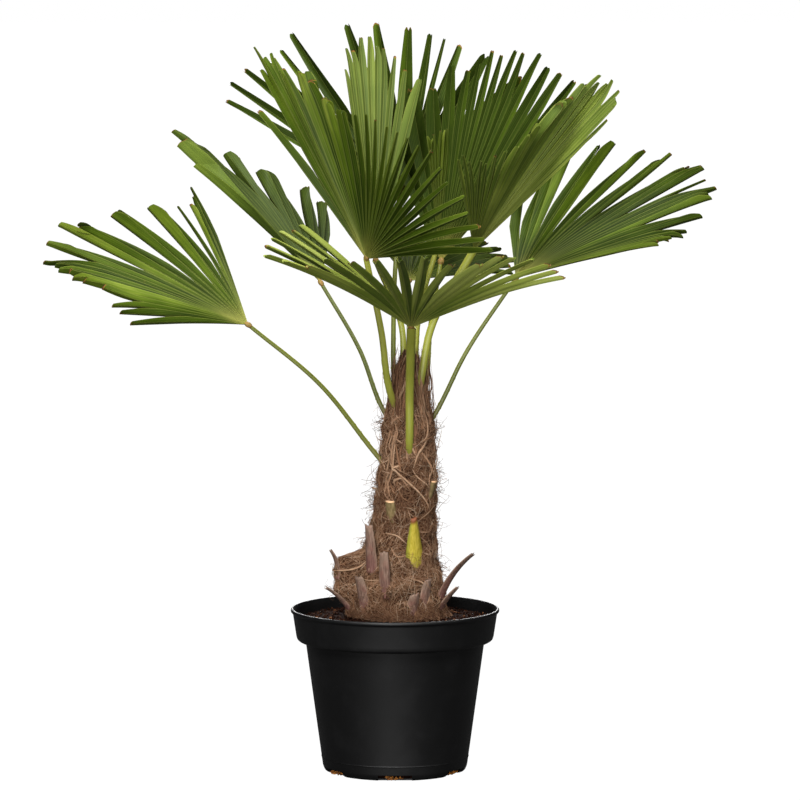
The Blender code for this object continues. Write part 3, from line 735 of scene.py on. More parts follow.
# %% Leaf base shapes
# Each base: angle, height of its foot, length, width, thickness, and its lean and bend, in mm and degrees
HUSKS = [
    (-38, 266, 62, 18, 5, 5, 3),
    (-14, 234, 60, 16, 5, 5, 2),
    (-43, 212, 50, 21, 5, 14, 5),
    (-84, 254, 40, 21, 5, 12, 26),
    (70, 228, 76, 22, 5, 36, 16),
    (-76, 214, 42, 18, 5, 46, 12),
    (70, 212, 40, 20, 5, 38, 8),
    (20, 212, 30, 18, 5, 19, 0),
    (38, 212, 46, 18, 5, 10, 4),
]
BACK_HUSKS = 7
BACK_FROM = 138
GOLDEN_TURN = 137.5
HUSK_SUNK = 0.5 * MM
HUSK_TORN = 5.0
TORN_FROM, TORN_OVER = 0.66, 0.34
CUT_BASES = {
    "yellow_leaf_base": (34, 256, 72, 27, 10, 8, 3),
    "cut_leaf_base_left": (-27, 320, 34, 13, 9, 13, 0),
    "cut_leaf_base_right": (60, 351, 28, 13, 9, 16, 0),
}


def back_husks():
    """More dried bases on the back of the trunk, each a golden turn on from the one below."""
    draw = np.random.default_rng(7)
    made = []
    angle, foot = 120.0, 214.0
    while len(made) < BACK_HUSKS:
        turned_to = (angle + 180) % 360 - 180
        if abs(turned_to) > BACK_FROM:
            made.append((turned_to, foot, draw.uniform(34, 50), 17, 5, draw.uniform(4, 12), 5))
            foot += 13
        angle += GOLDEN_TURN
        foot += 2
    return made


def leaf_base(spec, sunk, seed, torn=3.0, steps=26, sides=22, crescent=0.35, shape=None, aside=0.0):
    """A leaf base: a flat tube whose path starts sunk in the skin, at a lean that grows by its bend. The
    ring is hollowed on its inner side like a crescent, and the last third is torn by a jagged amount."""
    angle, foot, length, wide, thick, lean, bend = spec
    angle = math.radians(angle)
    away = swing(np.array(angle))
    skin = trunk_surface(np.array(angle), np.array(foot * MM))
    t = np.linspace(0, 1, steps)
    tilt = np.radians(lean - bend + 2 * bend * t)
    climb = np.sin(tilt)[:, None] * away + np.cos(tilt)[:, None] * [0, 0, 1]
    climb = unit(climb + aside * swing(np.array(angle + math.pi / 2)))
    walked = np.concatenate([np.zeros((1, 3)), np.cumsum((climb[1:] + climb[:-1]) / 2, 0)])
    path = skin - away * sunk + walked * length * MM / (steps - 1)
    half = wide / 2 * MM * (shape(t) if shape else 1 - 0.35 * t**2)
    deep = thick / 2 * MM * (1 - 0.5 * t)
    ahead, across, out = axes_along(path, away)
    turn = full_turn(sides)
    draw = np.random.default_rng(seed)
    bow = crescent * (np.cos(turn) ** 2)[None] * half[:, None]
    rough = 1 + 0.07 * draw.normal(size=sides)[None] + 0.02 * draw.normal(size=(steps, sides))
    ring = (across[:, None] * (np.cos(turn) * half[:, None] * rough)[..., None]
            + out[:, None] * (np.sin(turn) * deep[:, None] * rough - bow)[..., None])
    jag = draw.uniform(-1, 0.6, sides // 2 + 1)
    jag = np.concatenate([jag, jag[-2:0:-1]])[:sides] * torn * MM
    torn_here = np.clip((t - TORN_FROM) / TORN_OVER, 0, 1)[:, None] ** 2
    ring = ring + ahead[:, None] * (torn_here * jag)[..., None]
    along, rim = ring_numbers(t, turn)
    return *capped(path[:, None] + ring), {"along": along, "rim": rim}


print(len(HUSKS) + BACK_HUSKS, "dried bases and", len(CUT_BASES), "cut ones")

# %% [markdown]
# ### Bark and dried husks
#
# The skin's dark colour is painted shade: it is made dark because it is only seen in the gaps of the
# fibre. The husks are the colour of weathered straw: grey-brown streaks along them, pink where they are
# young at the foot, and pale at the torn end.

# %% Trunk and its husks
bark = Finish("trunk_skin", Roughness=0.95, Specular_IOR_Level=0.15)
woven = bark.noise(420, 3, stretch=(1, 1, 0.35), roughness=0.65)
# painted shade: the skin's ramp is kept dark for the gaps of the fibre, where it is seen
bark.give("Base Color", bark.ramp(woven, [
    (0.3, (0.010, 0.0045, 0.002)), (0.55, (0.045, 0.021, 0.010)), (0.8, (0.13, 0.066, 0.033))]))
bark.bump(woven, 0.9 * MM)

husk = Finish("dried_leaf_base", Roughness=0.78, Specular_IOR_Level=0.3)
streak = husk.noise(700, 3, stretch=(1, 1, 0.08), roughness=0.6)
mottle = husk.noise(90, 2)
along = husk.value("along")
grey = husk.ramp(streak, [
    (0.3, (0.056, 0.029, 0.020)), (0.5, (0.155, 0.088, 0.062)), (0.7, (0.33, 0.215, 0.16))])
warm = husk.blend(mottle.between(0.45, 0.7) * 0.55, grey, (0.20, 0.085, 0.062))
pink = husk.blend((1 - along).between(0.45, 1.0) * 0.6, warm, (0.15, 0.052, 0.048))
pale = husk.blend(husk.value("rim").between(0.8, 1.0) * 0.35, pink, (0.30, 0.20, 0.13))
husk.give("Base Color", husk.blend(along.between(0.6, 1.0) * 0.4, pale, (0.30, 0.215, 0.155)))
husk.bump(streak, 0.5 * MM)

trunk_stack = Stack()
trunk_stack.add(*trunk_skin(), pick=0, along=0.0, rim=0.0)
for number, spec in enumerate(HUSKS + back_husks()):
    points, faces, values = leaf_base(spec, HUSK_SUNK, 40 + number, torn=HUSK_TORN)
    trunk_stack.add(points, faces, pick=1, **values)
trunk_stack.piece("trunk_core", [bark, husk], ["trunk"])

# %% [markdown]
# ## The fibre
#
# Each old sheath leaves a woven net of coarse fibre that frays and tangles. A texture can't give that
# outline, so the strands are real: thousands of three-sided tubes that lie on the skin. A strand is a
# line drawn on the trunk, given as an angle and a height at each step, and a small lift over the skin.
# Its colour is one number from dark to straw, which its mesh carries. Every random number of a strand
# is drawn as a column, one row to a strand, so that a whole layer is worked out at once.

# %% Strands
FACING_X = 18 * MM
FACING_RISE = 0.2 * MM
LEAST_R = 9 * MM
SKIN_FOOT = 210 * MM
MAT_WANDER = 0.45
MAT_THINNER = 0.55

fibre = Finish("trunk_fibre", Roughness=0.85, Specular_IOR_Level=0.25)
shade = fibre.value("tint") + (fibre.noise(260, 2) - 0.5) * 0.35
fibre.give("Base Color", fibre.ramp(shade, [
    (0.0, (0.018, 0.0075, 0.0034)), (0.3, (0.090, 0.040, 0.019)), (0.6, (0.25, 0.125, 0.064)),
    (0.85, (0.38, 0.24, 0.145)), (1.0, (0.54, 0.40, 0.275))]))


def strands(angle, z, lift):
    """Points on the skin at these angles and heights, moved out by the lift. All are [strand, step]."""
    return trunk_surface(angle, z) + swing(angle) * lift[..., None]


def curl(draw, many, steps, amount, waves=2):
    """A smooth random wander along each strand: a few sine waves with random weights, 0 at its start."""
    t = np.linspace(0, 1, steps)
    k = np.arange(1, waves + 1)
    weight = draw.normal(size=(many, waves, 1)) / k[:, None]
    phase = draw.uniform(0, 2 * math.pi, (many, waves, 1))
    wander = (weight * (np.sin(k[:, None] * math.pi * t + phase) - np.sin(phase))).sum(1)
    return amount * wander


def along_skin(z0, a0, way, ds, least_r):
    """The angles and heights of strands that start at a0 and z0 and step ds on in the direction way, which
    is 0 for level and a quarter turn for up. A step turns further round a thin trunk than a thick one."""
    radius = trunk_ring(np.clip(z0, SKIN_FOOT, TRUNK_TOP))[1]
    angle = a0 + np.cumsum(np.cos(way), 1) * ds / np.maximum(radius, least_r)
    return angle, z0 + np.cumsum(np.sin(way), 1) * ds


def shades(draw, tint, each, t):
    """One brightness for each strand, the same at all its steps. tint is its mean and its spread."""
    return np.clip(draw.normal(*tint, each) + 0 * t, 0, 1)


def mat(draw, many, low, high, length, lean, lift, thick, tint, steps=6):
    """A layer of strands. Each starts at a random place between two heights and runs at a random lean
    from level, to either side, over the given range of lengths. Its lift is an arch over its ends."""
    each = (many, 1)
    z0 = draw.uniform(low, high, each) * MM
    a0 = draw.uniform(0, TURN, each)
    t = np.linspace(0, 1, steps)[None]
    reach = draw.uniform(*length, each) * MM
    slope = np.radians(draw.uniform(*lean, each)) * draw.choice([-1, 1], each)
    way = slope + curl(draw, many, steps, MAT_WANDER)
    angle, z = along_skin(z0, a0, way, reach / (steps - 1), LEAST_R)
    z = np.clip(z, BELOW_SOIL - 3 * MM, TRUNK_TOP - 4 * MM)
    arch = np.sin(math.pi * t) ** 0.7
    off = (draw.uniform(*lift, each) * arch + draw.uniform(-0.6, 0.4, each)) * MM
    off = off + curl(draw, many, steps, 0.35 * MM, 3)
    wide = draw.uniform(*thick, each) / 2 * MM * (1 - MAT_THINNER * np.abs(2 * t - 1) ** 2)
    return strands(angle, z, off), wide, shades(draw, tint, each, t)


def add_strands(stack, paths, wide, colour, flat=1.0):
    """Tubes along the paths, with each strand's colour at its points. A round strand has three sides. A
    flat one has six, and flat is its depth for its width. All face away from the trunk's middle."""
    sides = 3 if flat == 1.0 else 6
    facing = paths - [FACING_X, 0, 0]
    facing[..., 2] = FACING_RISE
    points, faces = tubes(paths, wide, wide * flat, sides, unit(facing))
    stack.add(points, faces, tint=per_point(colour, sides, sides > 4))


print("strands ready")

# %% [markdown]
# ### Three mats
#
# Three kinds of strand make the net. Steep ones lie close to the skin and carry the weave, level ones
# cross over them, and short loose ones stand off in loops. The mats overlap at their ends, so no seam
# shows where one piece stops and the next starts.

# %% Fibre mats
# Each piece: seed, number of strands, from and to which height in mm, and how much paler it is
MATS = {
    "fibre_mat_lower": (31, 3300, 206, 300, 0.06),
    "fibre_mat_middle": (32, 3300, 285, 420, 0.0),
    "fibre_mat_upper": (33, 2600, 400, 510, 0.02),
}
# Each kind: share of the strands, lengths in mm, leans in degrees, lifts and widths in mm, and its
# brightness and how much that varies
WEAVE = [
    (0.5, (20, 55), (25, 70), (0.2, 1.2), (0.5, 0.9), (0.40, 0.20)),
    (0.3, (18, 60), (0, 40), (0.4, 2.2), (0.4, 0.8), (0.55, 0.20)),
    (0.2, (14, 40), (40, 90), (0.8, 3.6), (0.35, 0.7), (0.62, 0.18)),
]
for name, (seed, many, low, high, paler) in MATS.items():
    draw = np.random.default_rng(seed)
    stack = Stack()
    for share, length, lean, lift, thick, (bright, vary) in WEAVE:
        tint = (bright + paler, vary)
        add_strands(stack, *mat(draw, int(many * share), low, high, length, lean, lift, thick, tint))
    stack.piece(name, [fibre], ["trunk"])

# %% [markdown]
# ### The foot and the crown
#
# At the soil the fibre spreads out like a skirt, and at the top each living stalk stands in the ragged
# rest of its own sheath. Both are strands and strips that leave the skin, so their paths are given as a
# radius about the trunk's middle instead of a lift over the skin.


# %% Skirt and sheaths
SKIRT_R = 62 * MM
SKIRT_STRANDS = 1500
SKIRT_TINT = (0.45, 0.17)


def round_trunk(angle, radius, z):
    """Points at an angle and a radius about the trunk's middle line at height z."""
    points = swing(angle) * radius[..., None]
    points[..., 0] += trunk_ring(np.clip(z, TRUNK_RINGS[0, 0], TRUNK_TOP))[0]
    points[..., 2] = z
    return points


def skirt(draw, many, steps=6):
    """Strands that run down the foot of the trunk and out over the soil. Their radius grows and their
    height falls with a power of the way along."""
    each = (many, 1)
    t = np.linspace(0, 1, steps)[None]
    z = draw.uniform(210, 242, each) * MM
    low = draw.uniform(203.5, 207, each) * MM
    out = draw.uniform(59, 70, each) * MM
    angle = draw.uniform(0, TURN, each) + draw.uniform(-0.7, 0.7, each) * t
    angle = angle + curl(draw, many, steps, 0.07, 3)
    radius = SKIRT_R + (out - SKIRT_R) * t**1.3 + draw.uniform(-1, 1.5, each) * MM
    height = z + (low - z) * t**0.8 + curl(draw, many, steps, 0.8 * MM)
    wide = draw.uniform(0.4, 1.0, each) / 2 * MM * (1 - 0.5 * t)
    return round_trunk(angle, radius, height), wide, shades(draw, SKIRT_TINT, each, t)


def sheaths(draw, many, feet, tops, lean_to, wide, tint, turns, steps=12):
    """Strips or hairs that rise from the skin between two ranges of height. Their radius goes from the
    skin's to one in the range lean_to, and their width swells and then runs out."""
    each = (many, 1)
    t = np.linspace(0, 1, steps)[None]
    foot = draw.uniform(*feet, each) * MM
    top = draw.uniform(*tops, each) * MM
    angle = draw.uniform(*turns, each) + draw.uniform(-0.5, 0.5, each) * t
    angle = angle + curl(draw, many, steps, 0.14, 3)
    skin = trunk_ring(foot)[1]
    radius = skin + (draw.uniform(*lean_to, each) * MM - skin) * t**1.3
    radius = radius + curl(draw, many, steps, 1.2 * MM)
    half = draw.uniform(*wide, each) / 2 * MM * (0.55 + 0.9 * t - 1.35 * t**3)
    colour = np.clip(draw.normal(*tint, each) + 0.12 * curl(draw, many, steps, 0.5, 3), 0, 1)
    return round_trunk(angle, radius, foot + (top - foot) * t), half, colour


# Each kind of sheath: how many, the heights of their feet and of their tips, the radii that they lean to
# and their widths, in mm, then their brightness and its spread, the angles they stand at, and how flat
SHEATHS = [
    (70, (400, 465), (450, 500), (20, 31), (3, 9), (0.66, 0.16), (0, TURN), 0.14),
    (20, (430, 480), (505, 552), (10, 26), (3, 9), (0.68, 0.14), (0.5, 2.4), 0.14),
    (75, (445, 485), (492, 562), (7, 18), (3, 8), (0.54, 0.20), (0, TURN), 0.14),
    (60, (330, 440), (370, 480), (31, 47), (2, 5), (0.66, 0.16), (0, TURN), 0.2),
    (330, (430, 500), (475, 560), (9, 30), (0.4, 1.0), (0.46, 0.2), (0, TURN), 1.0),
    (9, (478, 500), (520, 568), (20, 27), (4, 8), (0.66, 0.12), (1.25, 1.9), 0.14),
]

draw = np.random.default_rng(61)
stack = Stack()
add_strands(stack, *skirt(draw, SKIRT_STRANDS))
for *spec, flat in SHEATHS:
    add_strands(stack, *sheaths(draw, *spec), flat=flat)
stack.piece("fibre_crown", [fibre], ["trunk"])

# %% [markdown]
# ### Loose hairs and pale straps
#
# Hairs stand off the outline, which is what tells the eye that the trunk is fibre. They leave the skin
# at a flat angle and curl. At a few places on both sides they gather in frizzy tufts, darker and far
# more curled than the rest. Some broad pale strips of sheath lie over the mat, along given lines.


# %% Loose hairs and straps
HAIR_TINT = (0.45, 0.2)
HAIR_LEAST_R = 12 * MM
STRAP_STEPS = 26


def hairs(draw, many, low, high, length, steps=8, turns=(0, TURN), wild=1.1):
    """Hairs that leave the skin and curl: the lift grows with a power of the way along, and the line
    turns more the further it gets. wild is how far it turns, in radians."""
    each = (many, 1)
    t = np.linspace(0, 1, steps)[None]
    z0 = draw.uniform(low, high, each) * MM
    a0 = draw.uniform(*turns, each)
    reach = draw.uniform(*length, each) * MM
    way = draw.uniform(-1.2, 2.2, each) + curl(draw, many, steps, wild, 3)
    rise = draw.uniform(0.25, 0.95, each)
    level = np.sqrt(1 - rise**2)
    angle, z = along_skin(z0, a0, way, reach / (steps - 1) * level, HAIR_LEAST_R)
    z = np.clip(z, BELOW_SOIL, TRUNK_TOP + 12 * MM)
    lift = reach * rise * t**1.2 * (1 - 0.45 * t) + curl(draw, many, steps, 1.1 * wild * MM, 3)
    wide = draw.uniform(0.28, 0.5, each) / 2 * MM * (1 - 0.6 * t)
    path = strands(angle, np.clip(z, BELOW_SOIL, TRUNK_TOP), lift)
    path[..., 2] = z
    return path, wide, shades(draw, HAIR_TINT, each, t)


# Broad straps that cross the front: width in mm, brightness, and the places as (angle, height)
STRAPS = [
    (2.6, 0.80, [(-52, 436), (-46, 414), (-20, 397), (10, 379), (36, 361), (54, 341)]),
    (2.0, 0.72, [(-60, 420), (-34, 404), (-10, 388), (8, 372)]),
    (3.2, 0.82, [(52, 446), (37, 432), (22, 420), (12, 402)]),
    (1.6, 0.75, [(-66, 447), (-30, 441), (-2, 430)]),
    (2.8, 0.78, [(40, 474), (50, 461), (43, 444), (30, 436)]),
    (1.8, 0.70, [(-30, 402), (-44, 386), (-40, 366), (-22, 352)]),
    (1.6, 0.72, [(70, 408), (52, 396), (44, 380), (56, 366)]),
    (2.0, 0.72, [(-30, 462), (-22, 446), (-34, 430)]),
    (2.2, 0.74, [(14, 262), (34, 254), (44, 240), (40, 226)]),
    (1.8, 0.70, [(-20, 300), (-4, 288), (12, 290)]),
]

# Frizzy tufts at the sides: from and to which angle, from and to which height in mm, and how many hairs
TUFTS = [
    (-112, -78, 334, 384, 60), (-108, -80, 294, 314, 24), (-112, -75, 444, 474, 22),
    (-105, -85, 232, 246, 12), (74, 112, 366, 398, 48), (78, 108, 304, 330, 26),
    (76, 104, 256, 276, 20), (70, 110, 434, 460, 26),
]

draw = np.random.default_rng(51)
stack = Stack()
add_strands(stack, *hairs(draw, 1100, 212, 540, (7, 24)))
paths, wide, colour = hairs(draw, 170, 250, 480, (22, 50), 16)
add_strands(stack, paths, wide * 1.8, colour)
for start, stop, low, high, many in TUFTS:
    paths, wide, colour = hairs(draw, many, low, high, (16, 36), 15, np.radians((start, stop)), 2.6)
    add_strands(stack, paths, wide * 1.7, colour * 0.8)
loose_strips = mat(draw, 80, 215, 480, (25, 70), (20, 75), (1.0, 3.6), (1.0, 2.2), (0.70, 0.10), 14)
add_strands(stack, *loose_strips, flat=0.35)

t = np.linspace(0, 1, STRAP_STEPS)
for wide_mm, bright, knots in STRAPS:
    knots = np.array(knots, float) * [math.pi / 180, MM]
    angle, z = through(np.arange(len(knots)), knots, t * (len(knots) - 1)).T
    lift = (1.5 + 2.2 * np.sin(math.pi * t) + 0.8 * draw.normal() * t) * MM
    half = wide_mm / 2 * MM * (1 - 0.75 * np.abs(2 * t - 1) ** 3)
    add_strands(stack, strands(angle, z, lift)[None], half[None], bright + 0 * t[None], flat=0.3)
stack.piece("fibre_hairs", [fibre], ["trunk"])

# %% [markdown]
# ## Cut leaf bases
#
# Three stalks were cut while they were still green or half dry. One has dried to yellow and ends in a
# red-brown tip, two end in a flat pale cut. They are the same flattened tube as the dried bases, and
# the finish tells how long ago they were cut.

# %% Finishes of the cut bases
yellow = Finish("yellow_leaf_base", Roughness=0.55, Specular_IOR_Level=0.3)
up = yellow.value("along")
stripe = yellow.noise(620, 3, stretch=(1, 1, 0.05))
body = yellow.blend(stripe.between(0.35, 0.7), (0.43, 0.34, 0.028), (0.62, 0.50, 0.075))
body = yellow.blend((1 - up).between(0.6, 0.95) * 0.35, body, (0.20, 0.21, 0.025))
body = yellow.blend(yellow.value("rim").between(0.7, 1.0) * 0.7, body, (0.17, 0.20, 0.015))
yellow.give("Base Color", yellow.blend(up.between(0.88, 0.97), body, (0.20, 0.06, 0.02)))
yellow.bump(stripe, 0.4 * MM)

stub = Finish("cut_leaf_base", Roughness=0.8, Specular_IOR_Level=0.25)
cut_face = stub.value("along").between(0.955, 0.985)
stub_streak = stub.noise(600, 3, stretch=(1, 1, 0.1))
side_colour = stub.ramp(stub_streak, [
    (0.3, (0.11, 0.075, 0.030)), (0.6, (0.24, 0.175, 0.075)), (0.8, (0.34, 0.25, 0.13))])
stub.give("Base Color", stub.blend(cut_face, side_colour, (0.66, 0.40, 0.22)))
stub.bump(stub_streak, 0.4 * MM)
print("cut base finishes ready")

# %% [markdown]
# ### Two forms of cut base
#
# The yellow one is drawn out to a thin tip, hollow on its inner side and torn. The others are short stubs
# with a clean cut. Their feet sit deeper in the trunk than those of the husks, where the fibre hides them.


# %% Cut leaf bases
def lance(t):
    """How the half width changes up the yellow base: widest at its foot, and drawn out to a thin tip."""
    return 1.05 - 0.78 * t**1.5


def stub_width(t):
    """How the half width changes up a cut stub, which is wider at its foot."""
    return 1.15 - 0.2 * t


CUT_SUNK = 5.0 * MM
CUT_LEAN = 5
FORMS = {
    "yellow_leaf_base": (yellow, dict(torn=3.0, crescent=0.2, shape=lance, aside=-0.20)),
    "cut_leaf_base": (stub, dict(torn=0.6, crescent=0.1, shape=stub_width, aside=0.04)),
}
for number, (name, spec) in enumerate(CUT_BASES.items()):
    slot = "yellow_leaf_base" if name.startswith("yellow") else "cut_leaf_base"
    finish, form = FORMS[slot]
    angle, foot, length, wide, thick, lean, bend = spec
    raised = (angle, foot + length / 5, length, wide, thick, lean + CUT_LEAN, bend)
    points, faces, values = leaf_base(raised, CUT_SUNK, 70 + number, **form)
    stack = Stack()
    stack.add(points, faces, **values)
    stack.piece(name + "_fine", [finish], [name])

# %% [markdown]
# ## The fronds
#
# A frond of this palm is a fan: long narrow segments round a hub, each folded like a V, joined to its
# neighbours near the hub and free further out. Eleven fronds differ only in numbers: where the hub is,
# how the stalk runs to it, which way the fan's tips point, and which segments still hang together. So a
# table holds them all, and a fan can be turned by moving its tips.

# %% The fronds' table
BLADE_THICK = 0.6 * MM
BLADE_START = 4.5 * MM

# hub, the stalk's points below it, its half widths, and the tips as (place, x, y, z from the hub), in mm.
# groups are the segments that hang together, and gaps the share of their length where two groups part
FRONDS = {
    "frond_far_left": dict(
        hub=(-190, -20, 587), stalk=[(-4, -4, 392), (-22, -4, 413), (-97, -12, 508)], thick=(3.2, 2.6),
        tips=[(0, -130, -132, 4), (0.07, -164, -120, 26), (0.14, -183, -107, 43), (0.22, -207, -90, 63),
              (0.32, -235, -64, 82), (0.42, -252, -34, 102), (0.52, -248, -2, 122), (0.62, -215, 28, 139),
              (0.72, -160, 58, 146), (0.83, -98, 88, 148), (1, -70, 128, 172)],
        count=23, droop=14, groups=[1, 1, 1, 7, 2, 3, 2, 2, 1, 3],
        gaps=[0.55, 0.7, 0.75, 0.75, 0.53, 0.33, 0.26, 0.3, 0.3], fold=1.1, close=0.5, widest=0.5),
    "frond_left_back": dict(
        hub=(-97, 60, 635), stalk=[(0, 12, 448), (-14, 14, 470), (-46, 34, 549)], thick=(3.1, 2.5),
        tips=[(0, -138, -70, 144), (0.12, -180, -20, 190), (0.25, -182, 10, 200), (0.4, -150, 45, 180),
              (0.5, -121, 75, 163), (0.656, -75, 108, 137), (0.81, -24, 140, 112), (1, 14, 175, 85)],
        count=16, droop=10, groups=[7, 2, 3, 2, 2], gaps=[0.62, 0.5, 0.35, 0.5], fold=1.2, close=0.6,
        widest=0.5),
    "frond_front_high": dict(
        hub=(-37, -50, 675), stalk=[(6, -12, 468), (-4, -22, 492), (-18, -40, 582)], thick=(4.6, 3.8),
        tips=[(0, -130, 0, 170), (0.045, -142, -30, 243), (0.19, -114, -10, 256), (0.32, -72, -50, 240),
              (0.44, -38, -115, 200), (0.54, 0, -170, 192), (0.615, 28, -190, 185), (0.71, 64, -190, 162),
              (0.81, 106, -185, 115), (0.905, 140, -165, 62), (1, 172, -120, 12)],
        count=30, droop=6, groups=[1, 3, 3, 4, 2, 2] + [1] * 15,
        gaps=[0.3, 0.86, 0.8, 0.84, 0.7, 0.5] + [0.42] * 14, joined=0.93, fold=0.9, close=0.35),
    "frond_front_low": dict(
        hub=(21, -75, 588), stalk=[(15, -18, 396), (18, -31, 425), (19, -42, 500)], thick=(4.7, 6.0),
        tips=[(0, -144, 40, 134), (0.076, -155, 0, 127), (0.146, -168, -40, 120),
              (0.225, -190, -93, 118), (0.358, -132, -160, 100), (0.444, -84, -205, 108),
              (0.497, -48, -215, 108), (0.54, -19, -225, 112), (0.584, 11, -225, 112),
              (0.62, 36, -220, 108), (0.693, 83, -200, 103), (0.762, 120, -170, 107),
              (0.927, 187, -95, 86), (1, 205, -50, 76)],
        count=21, droop=16, fold=0.75, close=0.15, tip=0.75, groups=[1] * 21,
        gaps=[0.3, 0.36, 0.3, 0.4] * 5, widest=0.42),
    "frond_far_right": dict(
        hub=(157, 10, 645), stalk=[(38, 4, 446), (52, 5, 468), (91, 4, 546)], thick=(3.1, 2.5),
        tips=[(0, 162, -120, 46), (0.1, 190, -112, 60), (0.2, 222, -98, 78), (0.3, 240, -72, 108),
              (0.4, 248, -42, 130), (0.5, 236, -12, 144), (0.6, 208, 22, 151), (0.7, 182, 52, 157),
              (0.78, 150, 75, 164), (0.85, 102, 95, 176), (0.92, 56, 112, 150), (1, -6, 105, 78)],
        count=28, droop=12, groups=[6, 2, 4, 1, 4, 3, 2, 2, 3, 1],
        gaps=[0.78, 0.62, 0.78, 0.47, 0.3, 0.3, 0.3, 0.25, 0.25], fold=1.1, close=0.55, widest=0.5),
    "frond_right_front": dict(
        hub=(102, -20, 684), stalk=[(26, -11, 478), (32, -17, 505), (46, -19, 580)], thick=(4.6, 5.0),
        tips=[(0, 141, -85, 138), (0.1, 176, -90, 188), (0.22, 186, -60, 215), (0.34, 172, -45, 229),
              (0.48, 122, -70, 207), (0.6, 79, -130, 165), (0.72, 41, -160, 138), (0.84, 8, -165, 125),
              (1, -28, -150, 131)],
        count=24, droop=8, groups=[2, 4, 8, 1, 1, 1, 1, 1, 1, 1, 1, 1, 1],
        gaps=[0.72, 0.86, 0.84, 0.76, 0.72, 0.7, 0.72, 0.66, 0.7, 0.62, 0.7, 0.66], fold=0.7),
    "frond_right_back": dict(
        hub=(60, 45, 664), stalk=[(34, 8, 482), (40, 12, 508), (46, 20, 580)], thick=(3.4, 2.8),
        tips=[(0, 200, 30, 225), (0.15, 165, 40, 245), (0.3, 125, 55, 262), (0.45, 92, 60, 272),
              (0.6, 60, 60, 268), (0.75, 20, 60, 250), (0.9, -40, 58, 215), (1, -85, 55, 175)],
        count=15, droop=4, fold=0.9, groups=[1] * 15, gaps=[0.74] * 14, tip=0.7),
    "frond_back_high": dict(
        hub=(7, 85, 738), stalk=[(4, 14, 474), (0, 18, 500), (-2, 26, 580), (0, 42, 650)], thick=(3.4, 2.8),
        tips=[(0, -232, 60, 122), (0.14, -211, 85, 163), (0.26, -172, 85, 193), (0.36, -145, 70, 214),
              (0.46, -85, 65, 224), (0.5, -66, 65, 229), (0.567, -27, 65, 231), (0.633, 10, 65, 230),
              (0.7, 45, 65, 223), (0.767, 60, 65, 217), (0.833, 78, 65, 212), (0.9, 115, 65, 195),
              (1, 190, 65, 140)],
        count=15, droop=4, short={6: 0.66}, groups=[1] * 15, gaps=[0.5] * 14, close=0.4, tip=0.72),
    "frond_upright": dict(
        hub=(-25, 10, 668), stalk=[(13, -2, 490), (11, 0, 516), (9, 2, 580)], thick=(4.2, 3.6),
        tips=[(0, -43, 20, 244), (0.15, -35, 25, 265), (0.3, -24, 30, 281), (0.45, -8, 37, 282),
              (0.6, 8, 42, 278), (0.75, 25, 44, 268), (0.88, 44, 40, 250), (1, 64, 30, 225)],
        count=10, droop=2, fold=0.7, groups=[4, 3, 1, 1, 1], gaps=[0.84, 0.8, 0.6, 0.75], close=0.15,
        tip=0.55),
    "frond_young": dict(
        hub=(56, 0, 690), stalk=[(25, -2, 500), (26, -2, 530), (31, -4, 600)], thick=(4.2, 3.2),
        tips=[(0, -16, -45, 138), (0.5, -2, -50, 146), (1, 18, -50, 148)],
        count=6, droop=2, fold=1.5, groups=[3, 3], gaps=[0.8]),
    "frond_back_low": dict(
        hub=(18, 64, 637), stalk=[(18, 18, 478), (18, 24, 500), (18, 40, 570)], thick=(3.2, 2.6),
        tips=[(0, 128, 8, 5), (0.2, 138, 60, 25), (0.4, 105, 115, 45), (0.6, 50, 160, 60),
              (0.8, -10, 170, 62), (1, -62, 150, 55)],
        count=14, droop=14, groups=[1] * 14, gaps=[0.7] * 13),
}
print(len(FRONDS), "fronds with", sum(f["count"] for f in FRONDS.values()), "segments")

# %% [markdown]
# ### The fan's formula
#
# Modelling blades one by one gives a hand of loose ribbons. Here the fan is one formula of a place s
# round the hub and a distance r from it. The heading turns with s through the tips in the table, the fold
# raises the ridges and lowers the midribs, and every segment reads its own slice.


